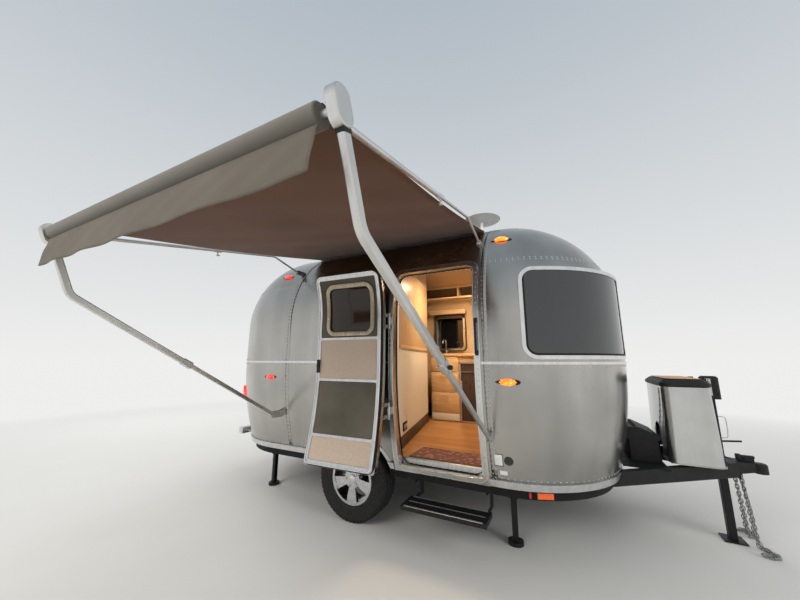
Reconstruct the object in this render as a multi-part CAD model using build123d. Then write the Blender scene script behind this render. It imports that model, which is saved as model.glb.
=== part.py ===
from build123d import *
from collections import namedtuple
from math import asin, atan2, cos, degrees, sin, sqrt
import os

# Small riveted-aluminium travel caravan, parked on its wheels, nose jack and four corner legs,
# with its entry door swung open and its side awning rolled out.
# Millimetres. While it is modelled, x = 0 is the axle, z = 0 the ground, +X runs to the hitch,
# -Y is the side with the door. The finished pieces are moved so that the origin is the
# centre of the base of the whole object's box.

# Overall sizes of the body
shell_rear = -1874
shell_width = 2440
roof_z = 2560
corner_r = 881            # one radius for the plan corners and the roof edge
tuck_r = 2730             # radius of the tuck-in below the belt
wall = 45
seat = 0.3                # gap between pieces that rest on each other along a curve

# Wheels, and the levels that are set from the wheel's middle up
tyre_r = 330
tyre_width = 205
rim_r = 190.5
hub_r = 72
hub_y = 40                # the wheel's mounting face lies this far out from its middle
track_inset = 202.5       # from the body's side to the wheel's middle plane
arch_gap = 70             # round the tyre
arch_trim = 26
pan_over_hub = 70
skirt_over_pan = 69
belt_over_skirt = 835
floor_over_pan = 145
pan_z = tyre_r + pan_over_hub
skirt_z = pan_z + skirt_over_pan       # bottom edge of the skin
belt_z = skirt_z + belt_over_skirt     # the side is upright here and tucks in below
floor_z = pan_z + floor_over_pan
arch_r = tyre_r + arch_gap
arch_top = tyre_r + arch_r + arch_trim
track_y = shell_width / 2 - track_inset

# Lengths, built up forwards from the wheel arch: doorway, seam, front cap
frame_past_arch = 12
frame_width = 749
cap_past_frame = 39
cap_front_long = 922
frame_rear_x = arch_r + frame_past_arch
frame_front_x = frame_rear_x + frame_width
cap_front_x = frame_front_x + cap_past_frame     # where the end caps meet the side sheets
cap_rear_x = -710
shell_front = cap_front_x + cap_front_long

# Sheets of the skin
roof_seam_drop = 490      # below the roof's top
roof_seam_z = roof_z - roof_seam_drop
shoulder_z = roof_z - corner_r
front_x = shell_front - corner_r
rear_x = shell_rear + corner_r
half_flat = shell_width / 2 - corner_r

# Mouldings
belt_proud = 6
belt_half = 9
rub_proud = 14
rub_high = 48
strip_gap_spare = 3       # mouldings stop this far from the door frame

# Floor, pan and chassis
floor_thick = 25
pan_wall = 3
pan_inset = 12
well_depth = 270
rail_y = 620
rail_width = 50
rail_height = 100
rail_rear_in = 274        # from the shell's ends to the ends of the rails
rail_front_in = 272
rail_rear_x = shell_rear + rail_rear_in
rail_front_x = shell_front - rail_front_in
chassis_top = floor_z - floor_thick
cross_members = (rail_rear_x + 40, -620, 620, 1300, rail_front_x - 50)
cross_width = 40
cross_height = 80

# Draw bar, coupler and jack, set out from the front of the shell
gas_depth = 322
battery_length = 215
tongue_spare = 141        # what the gas cover and the battery box leave of the tongue
tongue = gas_depth + battery_length + tongue_spare  # from the shell to the front of the beams
beam_width = 55
beam_height = 100
beam_front_x = shell_front + tongue
beam_front_y = 62
beam_lap = 60             # the beams start this far back inside the rails
beam_drop = 12            # beam tops lie this far under the floor at their rear ends
beam_rise = 55
beam_spare = 4            # round a beam where it passes through the skin and the pan
beam_cut = 30             # beam ends are cut back for the coupler
bar_top = chassis_top + beam_rise
tray_thick = 6
ball_x = beam_front_x + 125
ball_z = 520
ball_r = 29.5
jack_x = beam_front_x - 96
jack_tube = 57
jack_wall = 3
jack_slack = 0.7
jack_leg = jack_tube - 2 * jack_wall - 2 * jack_slack
jack_low = 440
jack_head_z = 1060
jack_head_top = 1198
jack_travel = 275
foot_thick = 10
foot_size = 130

# Gas cover, bottles and battery box
jack_gap = 44.5           # from the gas cover's base to the jack's middle
gas_width = 640
gas_low = bar_top - 8
gas_tall = 554
gas_high = gas_low + gas_tall
gas_wall = 4
gas_corner = 70
gas_taper = 24
gas_rim = 8
lid_gap = 6
lid_edge = 9              # the lid reaches this far past the cover's top
lid_skirt = 22
lid_slope = 35
gas_lid_top = gas_high + 56
gas_lid_open = 95
gas_x = jack_x - jack_gap - gas_depth / 2
bottle_r = 104
bottle_gap = 30
battery_gap = 30.5
battery_width = 420
battery_tall = 256
battery_lip = 4
battery_x = gas_x - gas_depth / 2 - battery_gap - battery_length / 2
battery_low = bar_top - 41
battery_high = battery_low + battery_tall
battery_tray = 400        # half width, out onto both beams
tray_gap = 12             # from the shell to the battery's tray

# Axle, below the pan and behind the wheels' middle
axle_x = 120
axle_tube = 80
axle_gap = 14
arm_in = 155.5            # from the wheel's middle plane in to the trailing arm
arm_thick = 30
arm_half = 32
spindle_r = 33.5
drum_r = 66
plate_r = 110             # backing plate

# Entry door, hinged on the rear jamb and modelled shut, then swung open
frame_drop = 8            # the frame's foot hangs this far under the skirt
frame_low = skirt_z - frame_drop
frame_over_seam = 30
frame_high = roof_seam_z + frame_over_seam
frame_border = 44
frame_corner = 95
frame_proud = 5
frame_deep = wall + 18    # how far the frame reaches in from the skin
door_gap = 5
door_thick = 38
door_axis_out = 23        # the hinge pins stand this far off the skin
door_axis_x = frame_rear_x + 24
door_axis_y = -shell_width / 2 - door_axis_out
door_open = 178
hinge_pin_r = 4
hinge_r = 9
hinge_slack = 0.1
hinge_low = 420           # above the foot of the leaf
hinge_high = 411          # below its top
screen_gap = 14           # the screen door stands in this far from the leaf's edges
screen_thick = 16
screen_border = 32

# Windows
window_over_belt = 26
window_under_roof = 585
side_window_over_belt = 161
side_window_under_roof = 565
rear_window_lift = 90
window_low = belt_z + window_over_belt
window_high = roof_z - window_under_roof
side_window_low = belt_z + side_window_over_belt
side_window_high = roof_z - side_window_under_roof
end_window_in = 20        # from where the shell's corners start to curve
corner_turns = (6, 76.7)  # degrees round the corner, from straight ahead
window_corner = 100
window_frame = 26
window_proud = 7
window_spare = 0.5
glass_thick = 6
hatch_proud = 9

# Awning: main arms, rafters, roller and rail
arm_x_front = cap_front_x + 5
arm_x_rear = cap_rear_x - 91
rafter_inboard = 40
arm_foot_out = 84         # from the skin at the foot's height
arm_foot_drop = 489       # below the belt
arm_bend_out = 1580       # from the body's side
arm_bend_z = 1690
roller_out = 1702
roller_z = 2011
roller_r = 39
roller_pin_r = 11
arm_outer_w = 28
arm_outer_h = 38
arm_wall = 3
arm_slack = 0.8
arm_inner_w = arm_outer_w - 2 * (arm_wall + arm_slack)
arm_inner_h = arm_outer_h - 2 * (arm_wall + arm_slack)
arm_joint = 940           # from the foot to where the inner tube enters the outer
arm_inner_long = 1240
arm_stow_drop = 445       # the bend's height once folded, below the roof's top
rafter_foot_out = 87.6
rafter_foot_drop = 325    # below the roof's top
rafter_bend_out = 315     # from its foot
rafter_bend_rise = 83
rafter_joint = 553        # from its bend to where the outer tube begins
rafter_inner_long = 800
rafter_r = 12
rafter_inner_r = 9
rafter_travel = 500
head_tall = 118           # the casting on each arm that carries the roller
head_deep = 78
pin_r = 6
pin_slack = 0.1
fabric_edge = 62          # fabric starts this far in from the arm's plane
fabric_thick = 3
rail_in = 436             # from where the roof starts to curve
valance_drop = 200
arm_foot_z = belt_z - arm_foot_drop
arm_stow_z = roof_z - arm_stow_drop
roller_y = -shell_width / 2 - roller_out
arm_bend_y = -shell_width / 2 - arm_bend_out
rafter_foot_z = roof_z - rafter_foot_drop
rafter_bend_z = rafter_foot_z + rafter_bend_rise
rail_y_awning = -half_flat - rail_in

# Step, corner legs
step_rear_x = frame_rear_x + 123
step_front_x = frame_front_x - 5
step_out = 20             # past the body's side
step_depth = 190
step_z = 282
step_thick = 34
step_travel = 300
runner_long = 440
runner_in = 30            # from the tread's ends to the runners' middles
runner_wide = 36
runner_high = 34
runner_wall = 5
leg_x_front = cap_front_x + 64
leg_x_rear = cap_rear_x - 520
leg_y = 800
leg_pivot_drop = 68
leg_pivot_z = pan_z - leg_pivot_drop
leg_width = 44
leg_foot_r = 55
leg_fold = 84

# Roof and lamps
unit_x = 120
unit_length = 760
unit_width = 600
unit_height = 255
vent_x = -720
vent_size = 390
vent_height = 50
vent_open = 65
vent_pin_r = 3
antenna_x = cap_front_x - 150
antenna_y = -420
antenna_lift = 140
antenna_z = roof_z + antenna_lift
antenna_r = 180
antenna_hub_r = 60
antenna_cone = 26
antenna_rise = 34
lamp_long = 118
lamp_r = 21

os.makedirs("parts", exist_ok=True)
nodes = {}


def radius_at(inset, z):
    """Distance of the wall from the corner centre at height z, moved in by inset."""
    if z < belt_z:
        return corner_r - tuck_r + sqrt((tuck_r - inset) ** 2 - (belt_z - z) ** 2)
    if z > shoulder_z:
        reach = (corner_r - inset) ** 2 - (z - shoulder_z) ** 2
        return sqrt(reach) if reach > 1 else 0
    return corner_r - inset


arm_foot_y = -half_flat - radius_at(0, arm_foot_z) - arm_foot_out
rafter_foot_y = -half_flat - radius_at(0, rafter_foot_z) - rafter_foot_out
rafter_bend_y = rafter_foot_y - rafter_bend_out


def wall_curve(inset, low, high):
    """The wall's upright outline in the XZ plane from low to high, as lines and arcs."""
    heights = [low] + [z for z in (belt_z, shoulder_z) if low < z < high] + [high]
    edges = []
    for z0, z1 in zip(heights, heights[1:]):
        start = (radius_at(inset, z0), 0, z0)
        end = (radius_at(inset, z1), 0, z1)
        if z0 >= belt_z and z1 <= shoulder_z:
            edges.append(Edge.make_line(start, end))
            continue
        if z0 >= shoulder_z:
            radius = corner_r - inset
            turn = (asin((z0 - shoulder_z) / radius) + asin(min((z1 - shoulder_z) / radius, 1))) / 2
            middle = (radius * cos(turn), 0, shoulder_z + radius * sin(turn))
        else:
            z = (z0 + z1) / 2
            middle = (radius_at(inset, z), 0, z)
        edges.append(Edge.make_three_point_arc(start, middle, end))
    return edges


def wall_section(outer, inner, low, high=None):
    """A slice of the wall between two insets, up to high or to the crown of the roof."""
    top_out = high if high else roof_z - outer
    top_in = high if high else roof_z - inner
    outside = wall_curve(outer, low, top_out)
    inside = wall_curve(inner, low, top_in)
    ends = [
        Edge.make_line((radius_at(outer, low), 0, low), (radius_at(inner, low), 0, low)),
        Edge.make_line((radius_at(outer, top_out), 0, top_out), (radius_at(inner, top_in), 0, top_in)),
    ]
    return Face(Wire(outside + inside + ends))


def run_x(section, side, x0, x1):
    """A wall slice drawn out along X on one side of the body, side -1 being the door side."""
    turned = Pos(x0, side * half_flat, 0) * Rot(0, 0, 90 * side) * section
    return extrude(turned, amount=x1 - x0, dir=(1, 0, 0))


def end_cap(section, end, seam_x):
    """The wall slice taken round one end of the body, from seam to seam."""
    centre_x = front_x if end > 0 else rear_x
    first = revolve(section, Axis.Z, 90)
    pieces = []
    for side in (1, -1):
        quarter = {(1, 1): 0, (-1, 1): 90, (-1, -1): 180, (1, -1): 270}[(end, side)]
        pieces.append(Pos(centre_x, side * half_flat, 0) * Rot(0, 0, quarter) * first)
        low_x, high_x = sorted((centre_x, seam_x))
        if high_x > low_x:
            pieces.append(run_x(section, side, low_x, high_x))
    turned = Pos(centre_x, -half_flat, 0) * Rot(0, 0, 0 if end > 0 else 180) * section
    pieces.append(extrude(turned, amount=2 * half_flat, dir=(0, 1, 0)))
    return pieces


def joined(pieces):
    """One solid from touching pieces."""
    body = pieces[0]
    for piece in pieces[1:]:
        body = body + piece
    return body


def ring(section):
    """The wall slice taken all the way round the body."""
    pieces = end_cap(section, 1, front_x) + end_cap(section, -1, rear_x)
    for side in (1, -1):
        pieces.append(run_x(section, side, rear_x, front_x))
    return joined(pieces)


def block(x0, x1, y0, y1, z0, z1):
    """A box by its faces."""
    centre = ((x0 + x1) / 2, (y0 + y1) / 2, (z0 + z1) / 2)
    return Pos(*centre) * Box(x1 - x0, y1 - y0, z1 - z0)


def plan_slab(inset, z0, z1):
    """A flat slab that follows the body's plan, moved in by inset."""
    radius = radius_at(inset, z0)
    length = front_x - rear_x + 2 * radius
    width = 2 * (half_flat + radius)
    plan = RectangleRounded(length, width, radius)
    return Pos((front_x + rear_x) / 2, 0, z0) * extrude(plan, amount=z1 - z0)


def interior(inset, low):
    """The solid that fills the body inside the given inset, from low to the ceiling."""
    top = roof_z - inset
    edges = wall_curve(inset, low, top)
    edges.append(Edge.make_line((radius_at(inset, low), 0, low), (0, 0, low)))
    edges.append(Edge.make_line((0, 0, low), (0, 0, top)))
    section = Face(Wire(edges))
    core = block(rear_x, front_x, -half_flat, half_flat, low, top)
    return ring(section) + core


def side_prism(x0, x1, z0, z1, corner, y0, y1, corner_low=0):
    """An upright plate shape in X and Z, drawn through Y, its corners rounded."""
    plate = block(x0, x1, y0, y1, z0, z1)
    upper = [e for e in plate.edges().filter_by(Axis.Y) if e.center().Z > (z0 + z1) / 2]
    plate = fillet(upper, corner)
    if corner_low:
        lower = [e for e in plate.edges().filter_by(Axis.Y) if e.center().Z < z0 + 1]
        plate = fillet(lower, corner_low)
    return plate


def end_prism(y0, y1, z0, z1, corner, x0, x1):
    """An upright rounded plate shape in Y and Z, drawn through X."""
    plate = block(x0, x1, y0, y1, z0, z1)
    return fillet(plate.edges().filter_by(Axis.X), corner)


def corner_prism(end, side, turn0, turn1, z0, z1, corner, r0, r1):
    """A rounded plate bent round a body corner; turns run from straight ahead to the side."""
    section = Plane.XZ * Pos((r0 + r1) / 2, (z0 + z1) / 2) * Rectangle(r1 - r0, z1 - z0)
    bent = revolve(section, Axis.Z, turn1 - turn0)
    flat = [f for f in bent.faces() if f.geom_type == GeomType.PLANE]
    tall = [f for f in flat if abs(f.normal_at().Z) < 0.5]
    edges = []
    for face in tall:
        edges += [e for e in face.edges() if abs(e.start_point().Z - e.end_point().Z) < 1]
    bent = fillet(edges, corner)
    bent = Rot(0, 0, turn0) * bent
    if side < 0:
        bent = mirror(bent, Plane.XZ)
    if end < 0:
        bent = mirror(bent, Plane.YZ)
    return Pos(front_x if end > 0 else rear_x, side * half_flat, 0) * bent


# Openings cut through the skin
door_hole = side_prism(
    frame_rear_x + frame_proud, frame_front_x - frame_proud, frame_low - 40, frame_high - frame_proud,
    frame_corner - frame_proud, -shell_width, -shell_width / 2 + 300,
)


def beam(side, spare=0):
    """One draw bar beam, from the chassis to the coupler, grown by spare for its notch."""
    start = Vector(rail_front_x - beam_lap, side * rail_y, chassis_top - beam_height / 2 - beam_drop)
    end = Vector(beam_front_x, side * beam_front_y, bar_top - beam_height / 2)
    along = end - start
    plane = Plane(origin=start, x_dir=(-along.Y, along.X, 0), z_dir=along)
    section = plane * RectangleRounded(beam_width + 2 * spare, beam_height + 2 * spare, 8 + spare)
    return extrude(section, amount=along.length)


notches = [beam(side, beam_spare) for side in (1, -1)]

# Fixed windows; start and end are turns in degrees at a corner, Y at the ends and X on a side
Window = namedtuple("Window", "kind side start end low high")
end_half = half_flat - end_window_in
fixed_windows = (
    Window("corner", -1, *corner_turns, window_low, window_high),
    Window("corner", 1, *corner_turns, window_low, window_high),
    Window("front", 0, -end_half, end_half, window_low, window_high),
    Window("rear", 0, -end_half, end_half, window_low + rear_window_lift, window_high),
    Window("side", 1, -70, 400, side_window_low, side_window_high),
    Window("side", 1, cap_front_x - 340, cap_front_x - 70, side_window_low, side_window_high),
)


def window_plate(window, grow, depth_in, depth_out):
    """One window's outline as a plate, grown by grow, between two depths from the skin."""
    corner = window_corner + grow
    z0 = window.low - grow
    z1 = window.high + grow
    if window.kind == "corner":
        turn = degrees(grow / corner_r)
        turns = (window.start - turn, window.end + turn)
        return corner_prism(1, window.side, *turns, z0, z1, corner, corner_r - depth_in, corner_r + depth_out)
    start = window.start - grow
    end = window.end + grow
    if window.kind == "side":
        face = shell_width / 2
        return side_prism(start, end, z0, z1, corner * 0.6, face - depth_in, face + depth_out, corner * 0.6)
    skin = shell_front if window.kind == "front" else shell_rear
    out = 1 if window.kind == "front" else -1
    faces = sorted((skin - out * depth_in, skin + out * depth_out))
    return end_prism(start, end, z0, z1, corner, *faces)


def window_pieces():
    """Holes in the skin, frames and panes for every fixed window."""
    holes = []
    frames = []
    panes = []
    for window in fixed_windows:
        lean = radius_at(0, shoulder_z) - radius_at(0, window.high)
        deep = wall + lean
        holes.append(window_plate(window, window_spare, deep + 40, 60))
        ring_part = window_plate(window, 0, deep, window_proud)
        ring_part -= window_plate(window, -window_frame, deep + 10, window_proud + 10)
        frames.append(ring_part)
        panes.append(window_plate(window, -window_frame - seat, glass_thick, -1))
    return holes, frames, panes


window_holes, window_frames, window_panes = window_pieces()

# The skin, in the sheets that it is riveted from
wheel_holes = []
for side in (1, -1):
    tunnel = Pos(0, side * shell_width / 2, tyre_r) * Rot(90, 0, 0) * Cylinder(arch_r, 600)
    wheel_holes.append(tunnel)

low_wall = wall_section(0, wall, skirt_z, belt_z)
mid_wall = wall_section(0, wall, belt_z, roof_seam_z)
high_wall = wall_section(0, wall, roof_seam_z)
upper_wall = wall_section(0, wall, belt_z)


def crown(x0, x1):
    """The flat middle of the roof between two cuts."""
    return block(x0, x1, -half_flat, half_flat, roof_z - wall, roof_z)


def cut(body, tools):
    """The body with each tool taken out."""
    for tool in tools:
        body = body - tool
    return body


for name, side in (("curb", -1), ("road", 1)):
    holes = wheel_holes + ([door_hole] if side < 0 else [])
    windows = [hole for hole, window in zip(window_holes, fixed_windows) if window[:2] == ("side", side)]
    nodes[name + "_wall_lower"] = cut(run_x(low_wall, side, cap_rear_x, cap_front_x), holes)
    nodes[name + "_wall_upper"] = cut(run_x(mid_wall, side, cap_rear_x, cap_front_x), holes + windows)
roof = joined([run_x(high_wall, side, cap_rear_x, cap_front_x) for side in (1, -1)])
nodes["roof_panel"] = cut(roof + crown(cap_rear_x, cap_front_x), [door_hole])
ends = {"corner": [], "front": [], "rear": [], "side": []}
for hole, window in zip(window_holes, fixed_windows):
    ends[window.kind].append(hole)
front_upper = joined(end_cap(upper_wall, 1, cap_front_x) + [crown(cap_front_x, front_x)])
rear_upper = joined(end_cap(upper_wall, -1, cap_rear_x) + [crown(rear_x, cap_rear_x)])
nodes["front_cap_upper"] = cut(front_upper, ends["corner"] + ends["front"])
nodes["rear_cap_upper"] = cut(rear_upper, ends["rear"])
nodes["front_cap_lower"] = cut(joined(end_cap(low_wall, 1, cap_front_x)), notches)
nodes["rear_cap_lower"] = joined(end_cap(low_wall, -1, cap_rear_x))
nodes["window_frames"] = window_frames
nodes["window_glass"] = window_panes

# Mouldings: belt strip, the rub rail round the skirt and the wheel arch trims
arch_rings = []
arch_end = arch_r + arch_trim
for side in (1, -1):
    section = wall_section(-belt_proud, -seat, skirt_z + rub_high + 1, belt_z - 20)
    band = run_x(section, side, -arch_end, arch_end)
    hoop = Cylinder(arch_end, 600) - Cylinder(arch_r, 700)
    arch_rings.append(band & (Pos(0, side * shell_width / 2, tyre_r) * Rot(90, 0, 0) * hoop))
belt_strip = ring(wall_section(-belt_proud, -seat, belt_z - belt_half, belt_z + belt_half))
rub_rail = ring(wall_section(-rub_proud, -seat, skirt_z, skirt_z + rub_high))
strip_gap = block(
    frame_rear_x - strip_gap_spare, frame_front_x + strip_gap_spare, -shell_width, 0, 0, shell_width)
rail_gaps = [strip_gap] + wheel_holes + notches
nodes["body_mouldings"] = [cut(belt_strip, [strip_gap]), cut(rub_rail, rail_gaps)] + arch_rings

# Service hatches on the road side: the cooling box's two vents and the outside locker
Hatch = namedtuple("Hatch", "start end low high louvres")
hatches = (
    Hatch(arch_r + 70, arch_r + 410, belt_z + 41, belt_z + 241, 6),
    Hatch(arch_r + 70, arch_r + 530, floor_z + 155, floor_z + 435, 9),
    Hatch(60, 380, arch_top + 44, arch_top + 354, 0),
)
hatch_corner = 24
louvre_in = 34            # the louvres stop this far from the hatch's sides
louvre_end = 30           # and this far from its top and foot
side_hatches = []
for hatch in hatches:
    band = wall_section(-hatch_proud, -seat, hatch.low - 20, hatch.high + 20)
    plate = run_x(band, 1, hatch.start - 20, hatch.end + 20)
    plate &= side_prism(hatch.start, hatch.end, hatch.low, hatch.high, hatch_corner,
                        shell_width / 2 - 200, shell_width / 2 + 50, hatch_corner)
    pitch = (hatch.high - hatch.low - 2 * louvre_end) / max(hatch.louvres, 1)
    for index in range(hatch.louvres):
        z = hatch.low + louvre_end + (index + 0.5) * pitch
        slot = (hatch.start + louvre_in, hatch.end - louvre_in, 0, shell_width)
        plate -= block(*slot, z - pitch / 4, z + pitch / 4)
    side_hatches.append(plate)
nodes["side_hatches"] = side_hatches

# Floor, belly pan with its wheel wells, chassis
hull = interior(-seat, pan_z)
room = interior(wall + seat, pan_z)


def sided(side, near, far):
    """Low and high Y for a span measured outwards on one side."""
    return sorted((side * near, side * far))


floor = plan_slab(wall + seat, chassis_top, floor_z)
pan = plan_slab(pan_inset, pan_z, skirt_z - seat)
pan -= plan_slab(pan_inset + pan_wall, pan_z + pan_wall, skirt_z + 5)
well_y = shell_width / 2 - wall - well_depth
well_low = pan_z + pan_wall + seat
iron_half = 20            # the bumper's irons
iron_low = 48
iron_high = 65
wells = []
well_holes = []
well_forms = []
bumper_slots = []
pan_holes = []
for side in (1, -1):
    lining = Pos(0, side * (well_y + 200), tyre_r) * Rot(90, 0, 0) * Cylinder(arch_r + pan_wall, 400)
    hollow = Pos(0, side * (well_y + 200 + pan_wall), tyre_r) * Rot(90, 0, 0) * Cylinder(arch_r, 400)
    above = block(-500, 500, -shell_width, shell_width, well_low, roof_z)
    spindle_hole = Pos(0, side * well_y, tyre_r) * Rot(90, 0, 0) * Cylinder(125, 60)
    wells.append((lining - hollow - spindle_hole) & above & room)
    hole_span = sided(side, well_y - seat, shell_width)
    well_holes.append(block(-arch_r - 6, arch_r + 6, *hole_span, pan_z - 9, roof_z))
    form = Pos(0, side * (well_y + 200 - seat), tyre_r) * Rot(90, 0, 0)
    well_forms.append(form * Cylinder(arch_r + pan_wall + seat, 400))
    iron_span = sided(side, rail_y - iron_half - seat, rail_y + iron_half + seat)
    heights = (pan_z + iron_low - 2, pan_z + iron_high + 2)
    bumper_slots.append(block(shell_rear, rail_rear_x, *iron_span, *heights))
    pan_holes.append(block(-arch_r + 60, arch_r - 60, *sided(side, well_y - 20, shell_width), 0, roof_z))
sill_in = half_flat + radius_at(frame_deep + seat, chassis_top)
doorstep = block(frame_rear_x - 2, frame_front_x + 2, -shell_width, -sill_in, frame_low - seat, roof_z)
nodes["floor"] = cut(floor, well_holes + [doorstep])
nodes["belly_pan"] = [cut(pan, pan_holes + notches + [doorstep] + bumper_slots)] + wells

rails = []
for side in (1, -1):
    rail_span = sided(side, rail_y - rail_width / 2, rail_y + rail_width / 2)
    rails.append(block(rail_rear_x, rail_front_x, *rail_span, chassis_top - rail_height, chassis_top))
inner = rail_y - rail_width / 2
half = cross_width / 2
for x in cross_members:
    rails.append(block(x - half, x + half, -inner, inner, chassis_top - cross_height, chassis_top))
nodes["chassis_frame"] = cut(joined(rails), [beam(side, seat) for side in (1, -1)])

# Draw bar with its trays, coupler, jack
draw_bar = beam(1) + beam(-1)
draw_bar -= block(beam_front_x - beam_cut, beam_front_x + 90, -200, 200, 0, bar_top + 300)
plate_x = gas_x + gas_depth / 2 + gas_rim + seat
draw_bar += block(plate_x, beam_front_x - beam_cut, -105, 105, bar_top - 14, bar_top - 6)
gas_tray = (gas_depth / 2 - 7.5, gas_width / 2 - 35)
tray_x = (gas_x - gas_tray[0], gas_x + gas_tray[0])
draw_bar += block(*tray_x, -gas_tray[1], gas_tray[1], gas_low - tray_thick, gas_low - seat)
tray_rear_x = front_x + radius_at(0, battery_low) + tray_gap
draw_bar += block(tray_rear_x, battery_x + battery_length / 2 + 10, -battery_tray, battery_tray,
                  battery_low - tray_thick, battery_low)
jack_square = jack_tube + 2 * seat
draw_bar -= Pos(jack_x, 0, bar_top) * Box(jack_square, jack_square, 400)
nodes["draw_bar"] = draw_bar

coupler_root = Pos(beam_front_x - beam_cut + seat, 0, bar_top - 45) * Rot(0, 90, 0)
coupler_nose = Pos(ball_x - 30, 0, ball_z + 14) * Rot(0, 90, 0)
coupler = loft([coupler_root * RectangleRounded(84, 180, 12), coupler_nose * RectangleRounded(66, 74, 12)])
coupler_cap = Pos(ball_x, 0, ball_z + 10) * Cylinder(ball_r + 14.5, 70)
coupler += fillet(coupler_cap.edges().group_by(Axis.Z)[-1], 16)
coupler += block(ball_x - 115, ball_x - 25, -9, 9, ball_z + 40, ball_z + 78)
coupler -= Pos(ball_x, 0, ball_z) * Sphere(ball_r)
coupler -= Pos(ball_x, 0, ball_z - 40) * Cylinder(ball_r - 2, 80)
nodes["coupler"] = coupler

jack = Pos(jack_x, 0, (jack_low + jack_head_z) / 2) * Box(jack_tube, jack_tube, jack_head_z - jack_low)
jack = fillet(jack.edges().filter_by(Axis.Z), 8)
jack_bore = jack_tube / 2 - jack_wall
jack -= block(jack_x - jack_bore, jack_x + jack_bore, -jack_bore, jack_bore, 0, jack_head_z - jack_wall)
jack_head = block(jack_x - 40, jack_x + 66, -50, 50, jack_head_z - 40, jack_head_top)
jack_head = fillet(jack_head.edges().filter_by(Axis.Z), 24)
jack_head = chamfer(jack_head.edges().group_by(Axis.Z)[-1], 12)
jack_head -= Pos(jack_x, 0, jack_head_z - 40) * Box(jack_tube, jack_tube, 80)
nodes["jack_housing"] = jack + jack_head
leg_top = jack_head_z - jack_travel - 20
jack_leg_body = Pos(jack_x, 0, (leg_top + foot_thick) / 2) * Box(jack_leg, jack_leg, leg_top - foot_thick)
jack_leg_body = fillet(jack_leg_body.edges().filter_by(Axis.Z), 5)
jack_leg_body += Pos(jack_x, 0, foot_thick / 2) * Box(foot_size, foot_size, foot_thick)
nodes["jack_leg"] = jack_leg_body

# Gas bottles, their cover and its lid, battery box


def rounded(length, width, z, corner, x=0):
    """A rounded rectangle laid flat at a height."""
    return Pos(x, 0, z) * RectangleRounded(length, width, corner)


def cover_form(inset, low, high):
    """The gas cover's tapered form, moved in by inset."""
    corner = gas_corner - inset
    base = rounded(gas_depth - 2 * inset, gas_width - 2 * inset, low, corner, gas_x)
    top_depth = gas_depth - gas_taper - 2 * inset
    top = rounded(top_depth, gas_width - gas_taper - 2 * inset, high, corner, gas_x)
    return loft([base, top])


gas_cover = cover_form(0, gas_low, gas_high) - cover_form(gas_wall, gas_low - 1, gas_high + 1)
rim = rounded(gas_depth + 2 * gas_rim, gas_width + 2 * gas_rim, gas_low, gas_corner + gas_rim, gas_x)
rim_hole = rounded(gas_depth - 2 * gas_wall, gas_width - 2 * gas_wall, gas_low, gas_corner - gas_wall, gas_x)
gas_cover += extrude(rim, amount=gas_wall) - extrude(rim_hole, amount=gas_wall)
recess = block(gas_x - gas_depth, gas_x - gas_depth / 4, -95, 95, gas_low - 5, gas_low + 250)
gas_cover -= fillet(recess.edges().filter_by(Axis.X).group_by(Axis.Z)[-1], 94)
lid_low = gas_high + lid_gap
lid_axis_x = gas_x + gas_depth / 2 - 6
lid_axis_z = gas_lid_top
lid_depth = gas_depth - gas_taper + 2 * lid_edge
lid_width = gas_width - gas_taper + 2 * lid_edge
lid = extrude(rounded(lid_depth, lid_width, lid_low, gas_corner, gas_x), amount=lid_skirt)
lid += loft([
    rounded(lid_depth, lid_width, lid_low + lid_skirt, gas_corner, gas_x),
    rounded(lid_depth - 2 * lid_slope, lid_width - 2 * lid_slope, gas_lid_top, gas_corner - 30, gas_x),
])
lid_hollow = rounded(lid_depth - 10, lid_width - 10, lid_low - 1, gas_corner - 5, gas_x)
lid -= extrude(lid_hollow, amount=lid_skirt - 1)
ears = []
post_x = lid_axis_x + 8
for y in (-190, 190):
    lid_ear = block(lid_axis_x - 42, lid_axis_x + 5, y - 10, y + 10, lid_axis_z - 14, lid_axis_z + 5)
    lid += lid_ear + Pos(lid_axis_x, y, lid_axis_z) * Rot(90, 0, 0) * Cylinder(4, 44)
    for step in (-16, 16):
        ear = block(post_x, post_x + 8, y + step - 4, y + step + 4, gas_high - 60, lid_axis_z + 8)
        ear += block(gas_x + 100, post_x + 8, y + step - 4, y + step + 4, gas_high - 60, gas_high - 12)
        ear += block(lid_axis_x - 8, post_x + 8, y + step - 4, y + step + 4, lid_axis_z - 9, lid_axis_z + 8)
        ear -= Pos(lid_axis_x, y, lid_axis_z) * Rot(90, 0, 0) * Cylinder(4 + seat, 60)
        ears.append(ear - cover_form(0, gas_low, gas_high))
nodes["gas_cover"] = joined([gas_cover] + ears)
nodes["gas_cover_lid"] = lid

bottle_low = gas_low
bottle_high = gas_high - 40
bottle = Pos(0, 0, (bottle_low + bottle_high) / 2) * Cylinder(bottle_r, bottle_high - bottle_low)
bottle = fillet(bottle.edges().group_by(Axis.Z)[-1], 80)
bottle += Pos(0, 0, bottle_high + 10) * Cylinder(28, 30)
nodes["gas_bottles"] = [Pos(gas_x, y, 0) * bottle for y in (-bottle_r - bottle_gap, bottle_r + bottle_gap)]

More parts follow.
